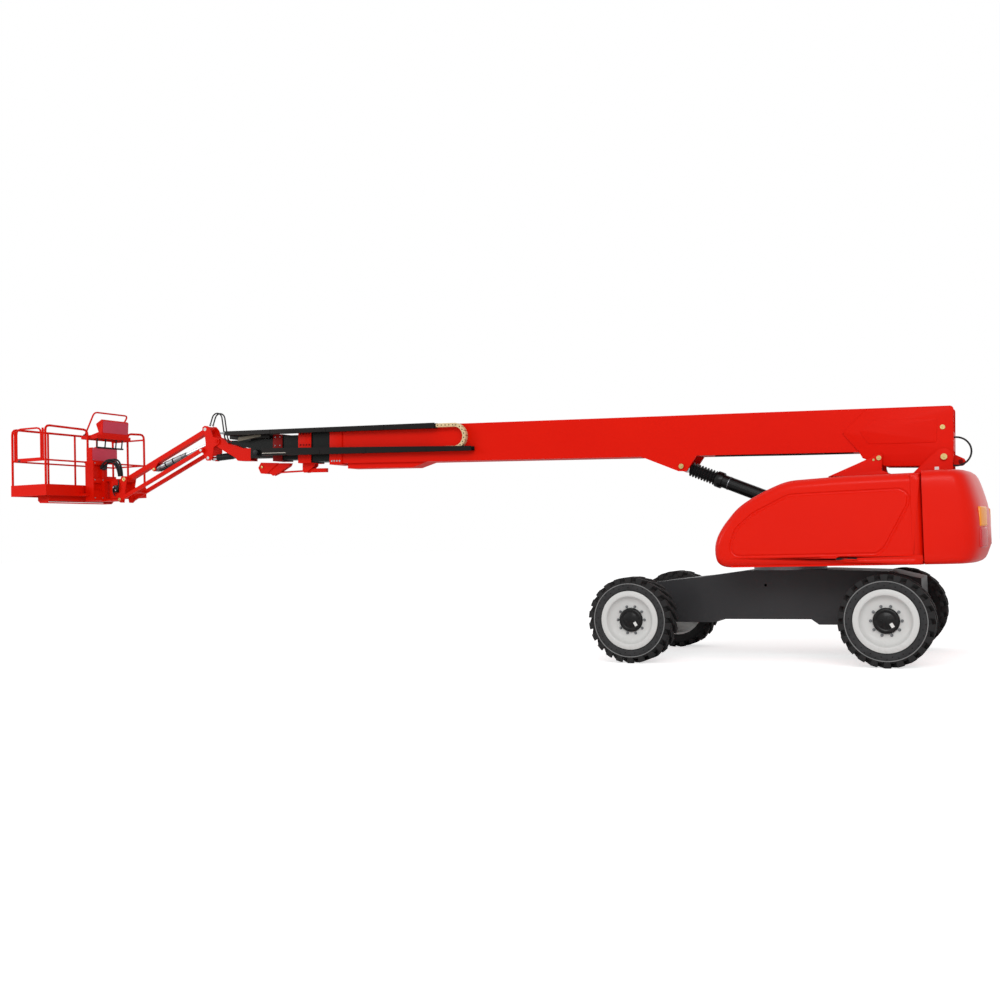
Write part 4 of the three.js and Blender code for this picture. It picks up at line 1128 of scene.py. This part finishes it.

# %% Jib cylinder: a bright shell, straps and two hoses under it
jib_foot = Vector(joints["jib_ram_swing"]["pos_m"])
jib_line = Vector(joints["jib_ram_slide"]["axis"]).normalized()
jib_down = Vector((-jib_line.z, 0, jib_line.x))
jib_down = -jib_down if jib_down.z > 0 else jib_down


def on_ram(along, y, below):
    return jib_foot + jib_line * along / 1000 + jib_down * below / 1000 + Vector((0, y / 1000, 0))


shell = turned([(40.2, 130), (44, 132), (44, 555), (41, 560), (40.2, 560)], jib_foot, jib_line,
               40, closed=True)
settle(shell, "jib_cylinder_shell", galvanised, "jib_ram_barrel")
straps = [turned([(44.2, s), (49, s + 2), (49, s + 24), (44.2, s + 26)], jib_foot, jib_line, 32,
                 closed=True) for s in (220, 380)]
settle(merge(*straps), "jib_cylinder_straps", hose_rubber, "jib_ram_barrel")
for side, y in (("left", 20), ("right", -20)):
    line = tube([on_ram(60, y, 54), on_ram(200, y, 57), on_ram(400, y, 57), on_ram(520, y, 64),
                 on_ram(575, y, 60)], 11)
    settle(line, f"jib_cylinder_pipe_{side}", hose_rubber, "jib_ram_barrel")
print("jib cylinder dressed")

# %% Pin heads on the jib, and small fittings on the head
for name, place, radius, height, finish, body in (
        ("jib_top_pin", at(8848, 113, 3451), 27, 10, label_white, "jib_head"),
        ("link_top_pin", at(8903, 165, 3119), 22, 8, label_white, "jib_head"),
        ("level_eye_pin", at(8794, 122, 2991), 24, 8, label_white, "jib_head"),
        ("head_pivot_pin", at(8625, 122, 3245), 24, 8, red_enamel, "jib_head"),
        ("jib_end_pin", at(10535, 113, 2732), 34, 12, zinc_yellow, "platform_bracket"),
        ("link_end_pin", at(10590, 165, 2400), 28, 10, zinc_yellow, "platform_bracket"),
        ("stay_pin", on_boom(9936, 66, 60), 20, 8, zinc_yellow, "boom_second"),
        ("lift_eye_pin", at(1064, 223, 2453), 34, 10, zinc_yellow, "boom_base")):
    head = pin_head(place, radius, height)
    twin = mirrored(head)
    settle(head, f"{name}_left", finish, body)
    settle(twin, f"{name}_right", finish, body)
lug_along, lug_across = Vector((0.9199, 0, -0.3921)), Vector((0.3921, 0, 0.9199))
lug_place = at(8848, 58, 3451) + lug_along * 1.24 - lug_across * 0.1
head = pin_head(lug_place, 22, 8)
twin = mirrored(head)
settle(head, "jib_lug_pin_left", zinc_yellow, "jib_arm")
settle(twin, "jib_lug_pin_right", zinc_yellow, "jib_arm")
ferrules = []
for y in (36, -36):
    sleeve = turned([(11.2, 0), (16, 2), (16, 32), (14, 36), (11.2, 36)], at(8798, y, 3543),
                    (0.373, 0, -0.928), 24, closed=True)
    ferrules.append(sleeve)
settle(merge(*ferrules), "jib_hose_ferrules", galvanised, "boom_fly")
print("jib pins fitted")

# %% [markdown]
# ## Platform
# The basket is welded tube. The console stands on a junction box behind the rail, with a cage
# of thin black tube between them, and the hoses from the jib arch over the rotator to it. The
# faces of the console and of the box that look back at the machine carry thin sheets of a pinker
# red: a painted reflection of the sky.

# %% Console and junction box faces
# A pinker red for the faces that look back at the machine: it paints the sky's reflection on them.
painted_reflection_red_enamel = enamel("pale_red_enamel", "#D8485C", "#C23A50", "#8A5A50", 0.45, 0.02, shine=0.2)


def face_panel(x, low_y, high_y, low_z, high_z, lean=0.0, radius=18):
    """A thin sheet with rounded corners on a face that looks back at the machine, to carry a
    painted reflection.
    """
    outline = filleted([(low_y, low_z), (high_y, low_z), (high_y, high_z), (low_y, high_z)], radius)
    panel = plate([(y / 1000, z / 1000) for y, z in outline], 6, edge=2)
    panel.data.transform(Matrix.Rotation(math.radians(90), 4, "Z"))
    panel.data.transform(Matrix.Rotation(math.radians(lean), 4, "Y"))
    panel.data.transform(Matrix.Translation((at(x, 0, 0).x, 0, 0)))
    return panel


console_face = face_panel(0, -550, 40, -98, 98, lean=-4.2)
console_face.data.transform(Matrix.Translation(at(11041, 0, 3643) - at(0, 0, 0)))
settle(console_face, "console_face", painted_reflection_red_enamel, "platform")
box_face = face_panel(11058, -292, 272, 3064, 3274)
settle(box_face, "junction_box_face", painted_reflection_red_enamel, "platform")
screws = [drum(at(11054, y, z), 7, 6, "X", 6) for y in (-275, 255) for z in (3080, 3258)]
settle(merge(*screws), "junction_box_screws", galvanised, "platform")
lid = soften(block(at(11046, -556, 3496), at(11372, 46, 3503)), 2, 2)
settle(lid, "console_base", red_enamel, "platform")
print("console and junction box faces fitted")

# %% Black cage under the console, and the knob on the guard hoop
cage = [tube([at(11050, y, 3448), at(11072, y, 3292)], 12, bends=False)
        for y in (160, -30, -280, -420)]
cage.append(tube([at(11056, 178, 3290), at(11056, -438, 3290)], 14, bends=False))
cage.append(tube([at(11046, 178, 3446), at(11046, -438, 3446)], 9, bends=False))
settle(merge(*cage), "console_cage", barrel_enamel, "platform")
knob = turned([(0, -22), (18, -22), (26, -14), (28, 0), (26, 14), (18, 22), (0, 22)],
              at(11340, 150, 3500), (0, 1, 0), 24)
settle(knob, "hoop_clamp", black_plastic, "platform")
# The stop button takes the red lens finish, whose faint emission makes it glow: a painted glow,
# since the button is no lamp.
emergency = turned([(0, 0), (16, 0), (16, 14), (24, 18), (24, 26), (16, 32), (0, 33)],
                   at(11120, -120, 3727), (0.42, 0, 0.9), 32)
settle(emergency, "stop_button", red_lens, "platform")
print("cage, knob and stop button fitted")

# %% Hoses that arch from the rotator to the junction box
arch = []
for i, (reach, top, y) in enumerate((
        (10660, 3085, 40), (10680, 3060, 70), (10700, 3035, 100), (10670, 3075, 130),
        (10690, 3050, 160))):
    arch.append(tube([
        at(reach, y * 0.4, 2790), at(reach - 4, y * 0.5, 2880), at(reach + 30, y * 0.7, top - 40),
        at(reach + 120, y, top), at(10900, y, top - 5), at(10990, y, top - 80),
        at(10990, y, 2920)], 15))
settle(merge(*arch), "rotator_hoses", hose_rubber, "platform")
guard = turned([(0.0, 0), (30, 0), (34, 6), (34, 40), (30, 46), (0, 46)], at(10990, 100, 2905),
               (0, 0, 1), 32)
settle(guard, "rotator_hose_gland", black_plastic, "platform")
valve = soften(block(at(10652, 108, 2520), at(10735, 150, 2640)), 4, 2)
ports = [drum(at(10670 + 45 * i, 160, 2555 + 50 * (i % 2)), 14, 24, "Y", 6) for i in range(2)]
settle(valve, "rotator_valve", barrel_enamel, "platform_bracket")
settle(merge(*ports), "rotator_valve_ports", galvanised, "platform_bracket")
loops = [tube([at(10670, 160, 2555), at(10645, 162, 2545), at(10622, 152, 2600),
               at(10630, 132, 2680), at(10660, 116, 2725)], 9),
         tube([at(10715, 160, 2605), at(10735, 162, 2590), at(10742, 152, 2540),
               at(10738, 136, 2495), at(10725, 116, 2470)], 9)]
settle(merge(*loops), "rotator_valve_hoses", hose_rubber, "platform_bracket")
print("hoses on the rotator:", len(arch), "in the arch")

# %% Bolts on the column, the gate's latch, the foot switch and grip bars on the floor
column_bolts = []
for y in (120, 300):
    for z in (2440, 2740, 3020):
        bolt = soften(drum(at(10982, y, z), 12, 10, "X", 6), 1.5, 1)
        column_bolts.append(bolt)
settle(merge(*column_bolts), "column_bolts", galvanised, "platform")
gate_latch = soften(block(at(11745, 1108, 3032), at(11800, 1146, 3062)), 4, 2)
settle(gate_latch, "gate_latch", black_plastic, "platform_gate")
pedal = soften(block(at(11290, -260, 2522), at(11450, -120, 2560)), 8, 3)
hood = soften(block(at(11290, -265, 2560), at(11370, -115, 2596)), 12, 3)
settle(merge(pedal, hood), "foot_switch", zinc_yellow, "platform")
bars = []
BAR_COUNT, BAR_PITCH, BAR_WIDTH = 26, 84, 8
for i in range(BAR_COUNT):
    y = -1050 + BAR_PITCH * i
    bars.append(block(at(11250, y, 2519.6), at(11880, y + BAR_WIDTH, 2524)))
settle(merge(*bars), "floor_bars", galvanised, "platform")
print("platform small parts fitted")
